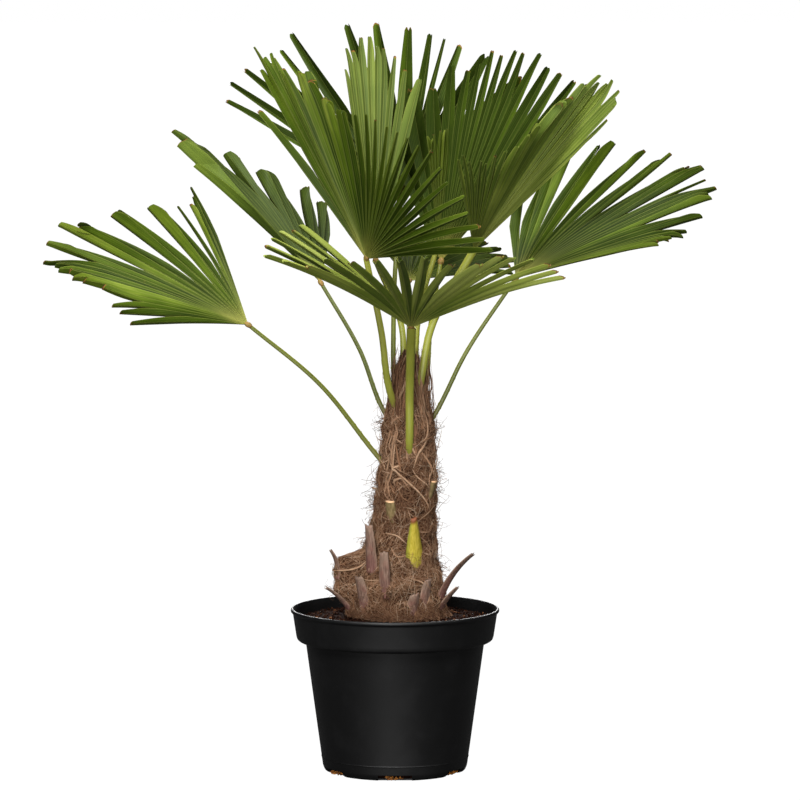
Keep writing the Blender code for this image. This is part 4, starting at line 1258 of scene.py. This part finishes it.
# %% The fan's formula
class Fan:
    """The blade of a frond: segments in a fan round the hub, folded in a V, joined up to their splits.
    SOFT is how round the V's bottom is and BOW how far its sides bow out, for half a segment's width."""

    SOFT = 0.06
    BOW = 0.07

    def __init__(self, hub, tips, count, droop, seed, groups, gaps, joined=0.92, fold=0.8, close=0.3,
                 tip=0.6, widest=0.55, short=None):
        table = np.array(tips, float)
        self.hub = np.array(hub) * MM
        self.count, self.fold, self.droop = count, fold, droop * MM
        self.close, self.tip, self.widest = close, tip, widest
        starts = table[:, 1:] * MM + [0, 0, self.droop]
        self.places = table[:, 0] * count
        self.headings = unit(starts)
        self.sizes = np.linalg.norm(starts, axis=1, keepdims=True)
        draw = np.random.default_rng(seed)
        self.length = self.size(np.arange(count) + 0.5) * (1 + 0.04 * draw.uniform(-1, 1, count))
        for place, share in (short or {}).items():
            self.length[place] *= share
        near = np.r_[self.length[0], np.minimum(self.length[1:], self.length[:-1]), self.length[-1]]
        ends = np.r_[0, np.cumsum(groups)]
        share = joined + 0.03 * draw.uniform(-1, 1, count + 1)
        share[ends] = np.r_[0.6, gaps, 0.6] + 0.02 * draw.uniform(-1, 1, len(ends))
        self.cut = near * share
        self.first = np.repeat(ends[:-1], groups)[:, None, None]
        self.last = np.repeat(ends[1:], groups)[:, None, None]
        self.notch = draw.uniform(0.3, 1, (count, 1, 1))
        self.sway, self.drop, self.twist = draw.normal(size=(3, count, 1, 1))
        self.tone, self.burn = draw.uniform(size=(2, count, 1, 1))
        self.side = 1.0
        self.side = math.copysign(1.0, self.normal(np.arange(count) + 0.5)[:, 2].mean())

    def heading(self, s):
        """The direction from the hub at fan place s, which runs from 0 to count."""
        return unit(through(self.places, self.headings, s))

    def size(self, s):
        """The length of the fan at place s."""
        return through(self.places, self.sizes, s)[..., 0]

    def turning(self, s):
        """The way that the heading moves as s grows."""
        return self.heading(s + 0.25) - self.heading(s - 0.25)

    def normal(self, s):
        """The way the fan's upper side faces: square to its heading and to the way the heading turns."""
        return self.side * unit(np.cross(self.turning(s), self.heading(s)))

    def spread(self, s):
        """Half the width of a segment at place s, for each metre from the hub."""
        return np.linalg.norm(self.heading(s + 0.5) - self.heading(s - 0.5), axis=-1) / 2

    def ray(self, s, r):
        """The fan before it is folded: r along the heading, less a sag that grows with the square of r."""
        sag = np.zeros(r.shape + (3,))
        sag[..., 2] = self.droop * (r / np.mean(self.sizes)) ** 2
        return self.hub + r[..., None] * self.heading(s) - sag

    def pleat(self, v):
        """The fold's profile over v, which is -1 and 1 at a segment's two ridges and 0 at its midrib: a V
        with a slightly rounded bottom and sides that bow out a little. It is 0 at the midrib, 1 at a
        ridge."""
        bent = (np.sqrt(v**2 + self.SOFT**2) - self.SOFT) / (math.sqrt(1 + self.SOFT**2) - self.SOFT)
        return bent + self.BOW * np.sin(math.pi * np.abs(v))

    def gathered(self, u, r):
        """Where place u has moved to at distance r, and how much narrower its group is there. Past the
        gaps beside it, a group folds up like a closing book and draws in to its middle."""
        first, last = self.first, self.last
        start = self.cut[first] + (self.cut[last] - self.cut[first]) * (u - first) / (last - first)
        past = np.clip((r - start) / (self.size(u) - start), 0, 1)
        shrink = 1 - self.close * past**1.2
        middle = (first + last) / 2
        return middle + (u - middle) * shrink, shrink

    def folded(self, shrink):
        """How high the fold stands for its half width: paper that draws in must stand up."""
        return np.sqrt(1 + self.fold**2 - shrink**2)

    def sheet(self, u, r, v):
        """A point of the joined blade: the ray at the gathered place, raised by the pleat of v."""
        place, shrink = self.gathered(u, r)
        rise = self.folded(shrink) * self.spread(u) * r / 2
        return self.ray(place, r) + (rise * (2 * self.pleat(v) - 1))[..., None] * self.normal(place)


print("fan formula ready")

# %% [markdown]
# ### Free segments
#
# Up to its split, a segment lies on the joined sheet. Past it, it keeps the fold that it had there, is
# wider while it still widens and narrower to its blunt tip, and folds up with its group. A twist, a sway
# and a drop of its own keep the segments from looking like copies.


# %% Free segments
# A tip's notch takes this share of its width. Its depth and the fall of its shoulders are for its width
NOTCH_SHARE = 0.45
NOTCH_DEPTH = 1.1
SHOULDER = 1.3
# How much the segments differ: their twist in radians, and their sway and drop at the tip
TWIST = 0.22
SWAY = 1.5 * MM
DROP = 2.0 * MM
LEAST_FREE = 1.5 * MM
BURNT_FROM = 0.55


def segment_ends(fan, v, cut, full):
    """How far from the hub the blade ends, with a notch at each midrib and shoulders beside it."""
    away = np.abs(v)
    place = np.arange(fan.count)[:, None, None] + 0.5
    blunt = fan.spread(place) * full * fan.widest * fan.tip * (1 - fan.close)
    dip = np.clip(1 - away / NOTCH_SHARE, 0, 1) * NOTCH_DEPTH * blunt * fan.notch
    shoulder = np.clip((away - NOTCH_SHARE) / (1 - NOTCH_SHARE), 0, 1) ** 1.6
    return np.maximum(full - dip - shoulder * SHOULDER * blunt, cut + LEAST_FREE)


def offsets(fan, s, r, held, v, past):
    """Where a point lies from its segment's midrib: the offset at the split, whose part along the fan
    shrinks with its group while the part above it grows, turned by the segment's own twist."""
    offset = fan.sheet(s + v / 2, held, v + 0 * r) - fan.sheet(s, held, 0 * r)
    shrink, before = fan.gathered(s, r)[1], fan.gathered(s, held)[1]
    upper = fan.normal(s)
    lifted = np.sum(offset * upper, -1, keepdims=True) * upper
    offset = (offset - lifted) * (shrink / before)[..., None]
    offset = offset + lifted * (fan.folded(shrink) / fan.folded(before))[..., None]
    angle = (TWIST * fan.twist * past)[..., None]
    return offset * np.cos(angle) + np.cross(fan.heading(s), offset) * np.sin(angle)


def bends(fan, s, past):
    """How far a midrib has swayed and dropped. It grows with the square of the way past the split."""
    sideways = unit(fan.turning(s)) * (SWAY * fan.sway)[..., None]
    return (past**2)[..., None] * (sideways - fan.normal(s) * (DROP * fan.drop)[..., None])


def burn_length(fan):
    """How far each tip has dried, in millimetres: most hardly, a few up to 20."""
    return 0.5 + 14 * np.clip(fan.burn - 0.75, 0, 1) ** 1.2 + 16 * np.clip(fan.burn - 0.95, 0, 1)


def fan_surface(fan, joined, free, columns):
    """The blade's points [segment, row, column], its normals and the numbers that its finish reads. Rows
    run from the hub to the split and on to the tip, and columns from one ridge over the midrib (v = 0)
    to the next."""
    v = np.linspace(-1, 1, columns)[None, None]
    low, high = fan.cut[:-1, None, None], fan.cut[1:, None, None]
    cut = (low + high) / 2 + (high - low) / 2 * v
    full = fan.length[:, None, None]
    end = segment_ends(fan, v, cut, full)
    inner = np.linspace(0, 1, joined + 1)[None, :, None]
    outer = (1 - (1 - np.linspace(0, 1, free + 1)) ** 1.4)[None, 1:, None]
    r = np.concatenate([BLADE_START + (cut - BLADE_START) * inner, cut + (end - cut) * outer], 1)
    held = np.minimum(r, cut)
    s = np.arange(fan.count)[:, None, None] + 0.5 + 0 * r
    past = np.clip((r - cut) / (full - cut), 0, 1)
    wider = np.minimum(r, np.maximum(cut, fan.widest * full)) / held
    narrow = wider * (1 - (1 - fan.tip) * np.clip(past * 1.5 - 0.5, 0, 1) ** 1.5)
    offset = offsets(fan, s, r, held, v, past) * narrow[..., None]
    points = fan.sheet(s, r, 0 * r) + offset + bends(fan, s, past)
    half = fan.spread(s) * held * narrow / MM
    share = (s + v / 2 - fan.first) / (fan.last - fan.first)
    dried = np.clip(1 - (end - r) / MM / burn_length(fan), 0, 1)
    numbers = {
        "from_rib": np.abs(v) * half,
        "from_edge": (1 - np.abs(v)) * half,
        # across runs from -1 to 1 over a group, for the painted shade of one half of it
        "across": (2 * share - 1) * np.clip((r / full - 0.2) / 0.3, 0, 1),
        "out": r / full,
        # place runs over the fan, for a painted gradient of shade across it
        "place": (s + v / 2) / fan.count,
        "tint": fan.tone + 0 * r,
        "burnt": dried * (fan.burn > BURNT_FROM),
    }
    return points, fan.normal(s + v / 2), numbers


print("free segments ready")

# %% [markdown]
# ### A blade with a thickness
#
# A single sheet has no inside, so it can't be printed or weighed. The blade is a thin shell instead: the
# surface raised and lowered by half its thickness, and a wall along every edge that only one face uses.


# %% The blade's shell
SAME_PLACE = 0.004 * MM


def blade(fan, joined=12, free=18, columns=11):
    """The blade as a closed shell: its surface raised and lowered by half its thickness, with a wall
    along its open edges. Points that neighbouring segments share are merged."""
    points, upper, numbers = fan_surface(fan, joined, free, columns)
    segments, rows = points.shape[:2]
    start = np.arange(segments)[:, None, None] * rows * columns
    faces = (start + grid_faces(rows, columns)).reshape(-1, 4)
    points, upper = points.reshape(-1, 3), upper.reshape(-1, 3)
    keys = np.round(points / SAME_PLACE).astype(np.int64)
    _, first, same = np.unique(keys, axis=0, return_index=True, return_inverse=True)
    points, upper, faces = points[first], upper[first], same.reshape(-1)[faces]
    many = len(points)
    sides = np.concatenate([faces[:, [k, (k + 1) % 4]] for k in range(4)])
    alone = ~np.isin(sides[:, 0] * many + sides[:, 1], sides[:, 1] * many + sides[:, 0])
    p, q = sides[alone].T
    walls = np.stack([p, p + many, q + many, q], 1)
    lift = upper * BLADE_THICK / 2
    shell = np.concatenate([points + lift, points - lift])
    values = {key: np.tile(v.reshape(-1)[first], 2) for key, v in numbers.items()}
    return shell, outward(shell, [faces, faces[:, ::-1] + many, walls]), values


print("blades are", BLADE_THICK / MM, "mm thick")

# %% [markdown]
# ### Stalks
#
# The stalk is stiff and slightly flattened, green with paler edges, partly their own colour and partly a
# painted sheen, and armed with tiny teeth near the trunk. It is a tube along the imported model's own
# path. The teeth are single points of its two edges that are pushed out, which costs nothing and reads
# well against the light.


# %% The stalk's formula
FLATNESS = 0.8
CHANNEL = 0.16
HUB_LONG, HUB_WIDE, HUB_THICK = 5.5 * MM, 4.2 * MM, 3.2 * MM


def stalk(frond, seed, steps=110, sides=16):
    """A tube along the stalk's path, oval in section, flattened above into a shallow channel."""
    knots = np.array(frond["stalk"] + [frond["hub"]], float) * MM
    walked = np.r_[0, np.cumsum(np.linalg.norm(np.diff(knots, axis=0), axis=1))]
    t = np.linspace(0, 1, steps)
    path = through(walked, knots, t * walked[-1])
    foot, top = frond["thick"]
    wide = (foot + (top - foot) * t)[:, None] * MM
    _, across, out = axes_along(path, [0.0, -1, 0.2])
    turn = full_turn(sides)
    draw = np.random.default_rng(seed)
    edge = np.abs(np.cos(turn)) > 0.98
    teeth = (draw.uniform(size=(steps, sides)) > 0.86) * edge * draw.uniform(0.3, 0.8, (steps, sides))
    teeth = teeth * (np.clip((0.5 - t) / 0.3, 0, 1) * np.clip(t / 0.1, 0, 1))[:, None] * MM
    dent = 1 - CHANNEL * np.clip(np.sin(turn), 0, 1) ** 3
    ring = (across[:, None] * (np.cos(turn) * wide + np.sign(np.cos(turn)) * teeth)[..., None]
            + out[:, None] * (np.sin(turn) * dent * wide * FLATNESS)[..., None])
    along, side = ring_numbers(t, turn)
    return *capped(path[:, None] + ring, path[[0, -1]]), {"along": along, "side": side}


def hub_knob(fan, rows=14, columns=20):
    """The swelling where the blade leaves its stalk: a small flattened ball. A point lies at
    cos(a) along the fan's middle, sin(a) cos(b) to its side and sin(a) sin(b) above it."""
    ahead = fan.heading(np.array(fan.count / 2)) * HUB_LONG
    normal = fan.normal(np.array(fan.count / 2))
    side = np.cross(unit(ahead), normal) * HUB_WIDE
    a = np.linspace(0, math.pi, rows + 2)[1:-1, None, None]
    b = full_turn(columns)[None, :, None]
    grid = np.cos(a) * ahead + np.sin(a) * (np.cos(b) * side + np.sin(b) * normal * HUB_THICK)
    return capped(grid + fan.hub, [fan.hub + ahead, fan.hub - ahead])


print("stalk formula ready")

# %% [markdown]
# ### Leaf finish
#
# The blade is a satin mid green. Thin yellow-green lines run along every ridge and midrib, fine veins
# run beside them, long faint streaks run out with the fibres, and the tips dry to brown. The mesh
# carries each point's distance from its rib, its edge and its tip, so the lines keep their true width
# all the way out, which a stretched picture of a leaf wouldn't. The streaks are noise that reads those
# numbers as its place: quick to change across a segment, slow along it. Much of the shading is painted
# into the colour: painted shade darkens the valley of each fold and one half of each group of segments,
# and painted gradients of shade run from the hub to the tips and from one side of the fan to the other.

# %% Leaf finish
leaf = Finish("frond_blade", Roughness=0.5, Specular_IOR_Level=0.11)
rib = 1 - leaf.value("from_rib").between(0.2, 1.1)
edge = 1 - leaf.value("from_edge").between(0.1, 0.9)
clear = leaf.value("out").between(0.15, 0.4)
vein = (leaf.value("from_rib") * 3.6).wave() * clear
sockets = {"X": leaf.value("from_rib") * 0.55, "Y": leaf.value("out") * 3, "Z": leaf.value("tint") * 40}
lengthwise = leaf.node("ShaderNodeCombineXYZ", None, sockets, output="Vector")
streak = leaf.noise(1.0, 3, roughness=0.6, place=lengthwise) - 0.5
# painted shade: one half of each group of segments is made darker than the other half, by a number of each
# frond
half = leaf.value("across").between(-0.3, 0.3) * 2 - 1
tone = leaf.value("tint") * 0.45 + leaf.noise(22, 2) * 0.45 + streak * 0.55
# each frond's brightness is partly its own green and partly painted shade and light
tone = tone + leaf.value("bright") - half * leaf.value("halves")
# painted shade: a gradient of shade along a frond, darker at the hub for a positive number and darker at the
# tips for a negative one
tone = tone + (leaf.value("out") - 0.5) * leaf.value("rise")
# painted shade: a gradient of shade across the fan, from its first segment to its last
tone = tone + (leaf.value("place") - 0.5) * leaf.value("slant")
green = leaf.ramp(tone * 0.6, [
    (0.0, (0.012, 0.027, 0.0010)), (0.24, (0.043, 0.077, 0.0025)), (0.45, (0.107, 0.157, 0.010)),
    (0.6, (0.245, 0.295, 0.042)), (0.9, (0.38, 0.43, 0.10))])
green = leaf.blend((vein * 0.5 + 0.5) * 0.20, green, (0.15, 0.19, 0.03))
# grey: partly the waxy bloom of the blade and partly a painted sheen where a frond faces the lamps
green = leaf.blend(leaf.value("bloom"), green, (0.17, 0.215, 0.070))
# painted shade: the valley of each fold is darkened along its midrib
valley_shade = 1 - leaf.value("from_rib").between(0.4, 3.2)
green = leaf.blend(valley_shade * 0.45, green, (0.016, 0.030, 0.0015))
near_hub = 1 - leaf.value("out").between(0.0, 0.22)
green = leaf.blend(near_hub * 0.22, green, (0.22, 0.20, 0.035))
green = leaf.blend(near_hub * edge * 0.55, green, (0.40, 0.33, 0.085))
# painted shade: the pale rib and edge lines are dimmed on the fronds made darker
lines = 0.8 + leaf.value("bright") * 0.8
green = leaf.blend(rib * lines * 0.42, green, (0.26, 0.30, 0.070))
green = leaf.blend(edge * lines * 0.5, green, (0.25, 0.28, 0.055))
spots = leaf.noise(150, 3, roughness=0.7).between(0.68, 0.76)
green = leaf.blend(spots * 0.22, green, (0.20, 0.13, 0.03))
dry = leaf.value("burnt").between(0.12, 0.5)
rust = leaf.ramp(leaf.value("burnt"), [
    (0.2, (0.42, 0.26, 0.045)), (0.6, (0.22, 0.10, 0.025)), (1.0, (0.055, 0.025, 0.014))])
leaf.give("Base Color", leaf.blend(dry, green, rust))
leaf.give("Roughness", 0.46 + 0.12 * leaf.noise(60, 2) + 0.3 * dry)
leaf.bump(vein * 0.2 + rib * 0.4 + streak * 0.3, 0.1 * MM, 0.6)
print("leaf finish ready")

# %% [markdown]
# ### Stalk and hub
#
# A stalk is smoother and shinier than its blade, brightest where it is young and brownish at its foot, and
# each stalk's brightness is partly painted shade and light. Its paler edges are partly a painted sheen.
# The swelling at its head, where all the segments meet, is corky and yellow-brown.

# %% Stalk finishes
stem = Finish("frond_stalk", Roughness=0.4, Specular_IOR_Level=0.4)
height = stem.value("along")
# paler edges: partly the stalk's own colour and partly a painted sheen
flank_and_sheen = stem.value("side").between(0.72, 0.98)
# each stalk's brightness is partly its own green and partly painted shade and light
fresh = stem.ramp(stem.value("bright") + (stem.noise(40, 2) - 0.5) * 0.25, [
    (0.0, (0.050, 0.068, 0.008)), (0.5, (0.15, 0.170, 0.016)), (1.0, (0.36, 0.37, 0.050))])
fresh = stem.blend(flank_and_sheen * 0.7, fresh, (0.36, 0.34, 0.075))
fresh = stem.blend((1 - height).between(0.72, 1.0) * 0.6, fresh, (0.17, 0.13, 0.03))
scar = stem.noise(110, 3, roughness=0.75).between(0.62, 0.75)
stem.give("Base Color", stem.blend(scar * 0.12, fresh, (0.10, 0.055, 0.02)))

knob = Finish("frond_hub", Roughness=0.6, Specular_IOR_Level=0.3)
knob.give("Base Color", knob.ramp(knob.noise(420, 3), [
    (0.3, (0.13, 0.12, 0.022)), (0.5, (0.27, 0.17, 0.042)), (0.7, (0.30, 0.12, 0.030))]))
knob.bump(knob.noise(900, 2), 0.2 * MM)
print("stalk finishes ready")

# %% [markdown]
# ### From the tables to leaves
#
# No two fronds have the same green: age and the side that shows make the difference, and painted shade
# and light stand in for how each lies to the lamps. A second table gives each its own few numbers, and a
# loop then makes blade, stalk and hub as one piece.

# %% Make the fronds
# For each frond: how bright its blade and its stalk are against the middle of their greens, which is partly
# their own green and partly painted shade and light; how much painted shade darkens one half of a fold
# against the other; how much grey it has, partly waxy bloom and partly painted sheen; how much lighter it
# gets to its tips, as painted shade near the hub; and how much lighter it gets from its first segment to
# its last, as a painted gradient of shade
LOOKS = {
    "frond_far_left": (-0.08, 0.36, 0.15, 0.0, 0.2, -0.15),
    "frond_left_back": (-0.62, 0.16, 0.20, 0.10, 0.75, -0.4),
    "frond_front_high": (-0.19, 0.80, 0.12, 0.0, 0.65, -0.12),
    "frond_front_low": (0.44, 0.75, 0.25, 0.14, 0.2, -0.1),
    "frond_far_right": (-0.30, 0.30, 0.15, 0.0, 0.3, 0.0),
    "frond_right_front": (0.34, 0.75, 0.06, 0.15, -0.45, -0.1),
    "frond_right_back": (-0.64, 0.55, 0.12, 0.0, 0.3, 0.0),
    "frond_back_high": (-0.44, 0.45, 0.18, 0.0, 0.3, 0.0),
    "frond_upright": (0.06, 0.70, 0.14, 0.35, 0.35, 0.0),
    "frond_young": (-0.04, 0.80, 0.15, 0.0, 0.3, 0.0),
    "frond_back_low": (-0.10, 0.45, 0.15, 0.10, 0.3, 0.0),
}

FROND_CREASE = 48

for seed, (name, frond) in enumerate(FRONDS.items()):
    fan = Fan(seed=seed, **{key: value for key, value in frond.items() if key not in ("stalk", "thick")})
    bright, stalk_bright, halves, bloom, rise, slant = LOOKS[name]
    stack = Stack()
    points, faces, values = blade(fan)
    values.update(bright=bright, halves=halves, bloom=bloom, rise=rise, slant=slant)
    stack.add(points, faces, pick=0, **values)
    points, faces, values = stalk(frond, 90 + seed)
    stack.add(points, faces, pick=1, bright=stalk_bright, **values)
    stack.add(*hub_knob(fan), pick=2)
    stack.piece(name + "_fine", [leaf, stem, knob], [name], crease=FROND_CREASE)

# %% [markdown]
# ## White paper
#
# A plant is photographed on white paper that runs up behind it. To the camera the floor and the air
# shine white, so that no horizon shows. To the plant they are nearly dark, because a floor that really
# shone would light the black pot from below. A Light Path node tells the two apart, with one number
# that is 1 only for what the camera sees.

# %% Floor and air
FLOOR_R = 30.0
FLOOR_STEPS = 96
FLOOR_DROP = 0.2 * MM
FLOOR_GREY = 0.02
PAPER_GLOW = 1.10
AIR_GLOW = 0.006

paper = Finish("studio_floor", Roughness=0.9)
paper.shader.inputs["Base Color"].default_value = (FLOOR_GREY, FLOOR_GREY, FLOOR_GREY, 1)
glow = paper.node("ShaderNodeEmission", None, {"Color": (1, 1, 1, 1), "Strength": PAPER_GLOW})
seen = paper.node("ShaderNodeLightPath", output="Is Camera Ray")
plain = Wire(paper, paper.shader.outputs[0])
lit = paper.node("ShaderNodeMixShader", None, {0: seen * 0.95, 1: plain, 2: glow})
paper.feed("Material Output", "Surface", lit)

mesh = bpy.data.meshes.new("floor")
mesh.from_pydata((swing(full_turn(FLOOR_STEPS)) * FLOOR_R).tolist(), [], [list(range(FLOOR_STEPS))])
mesh.materials.append(paper.material)
floor = bpy.data.objects.new("floor", mesh)
bpy.context.scene.collection.objects.link(floor)
floor.location.z = -FLOOR_DROP

world = bpy.data.worlds.new("studio")
air = Nodes(world)
bpy.context.scene.world = world
air.tree.nodes["Background"].inputs["Color"].default_value = (1, 1, 1, 1)
seen = air.node("ShaderNodeLightPath", output="Is Camera Ray")
air.feed("Background", "Strength", seen * (1 - AIR_GLOW) + AIR_GLOW)
bpy.context.scene.view_settings.view_transform = "Standard"
print("white floor of", 2 * FLOOR_R, "m")

# %% [markdown]
# ## Light
#
# Large soft lights keep hard shadows off the leaves. The key light stands high at the front left, a low
# one in front reaches under the leaves to the trunk and the pot, a weaker one at the right fills the
# shadows, one above picks out the pleats, and one behind lights the fronds that point away.

# %% Lights
# Each light: where it stands, the height that it points at, its width in metres and its power in watts
LIGHTS = {
    "key": ((-1.1, -2.8, 3.3), 0.6, 1.5, 180),
    "front": ((-0.5, -4.7, 0.55), 0.5, 1.7, 155),
    "fill": ((1.9, -2.0, 3.3), 0.6, 1.3, 70),
    "top": ((0.2, 0.1, 3.2), 0.7, 1.3, 70),
    "back": ((0.0, 4.5, 2.4), 0.5, 1.5, 200),
}
for name, (place, height, size, power) in LIGHTS.items():
    light = bpy.data.lights.new(name, "AREA")
    light.energy = power
    light.size = size
    made = bpy.data.objects.new(name, light)
    made.location = place
    made.rotation_euler = (Vector((0, 0, height)) - Vector(place)).to_track_quat("-Z", "Y").to_euler()
    bpy.context.scene.collection.objects.link(made)
print(len(LIGHTS), "lights")
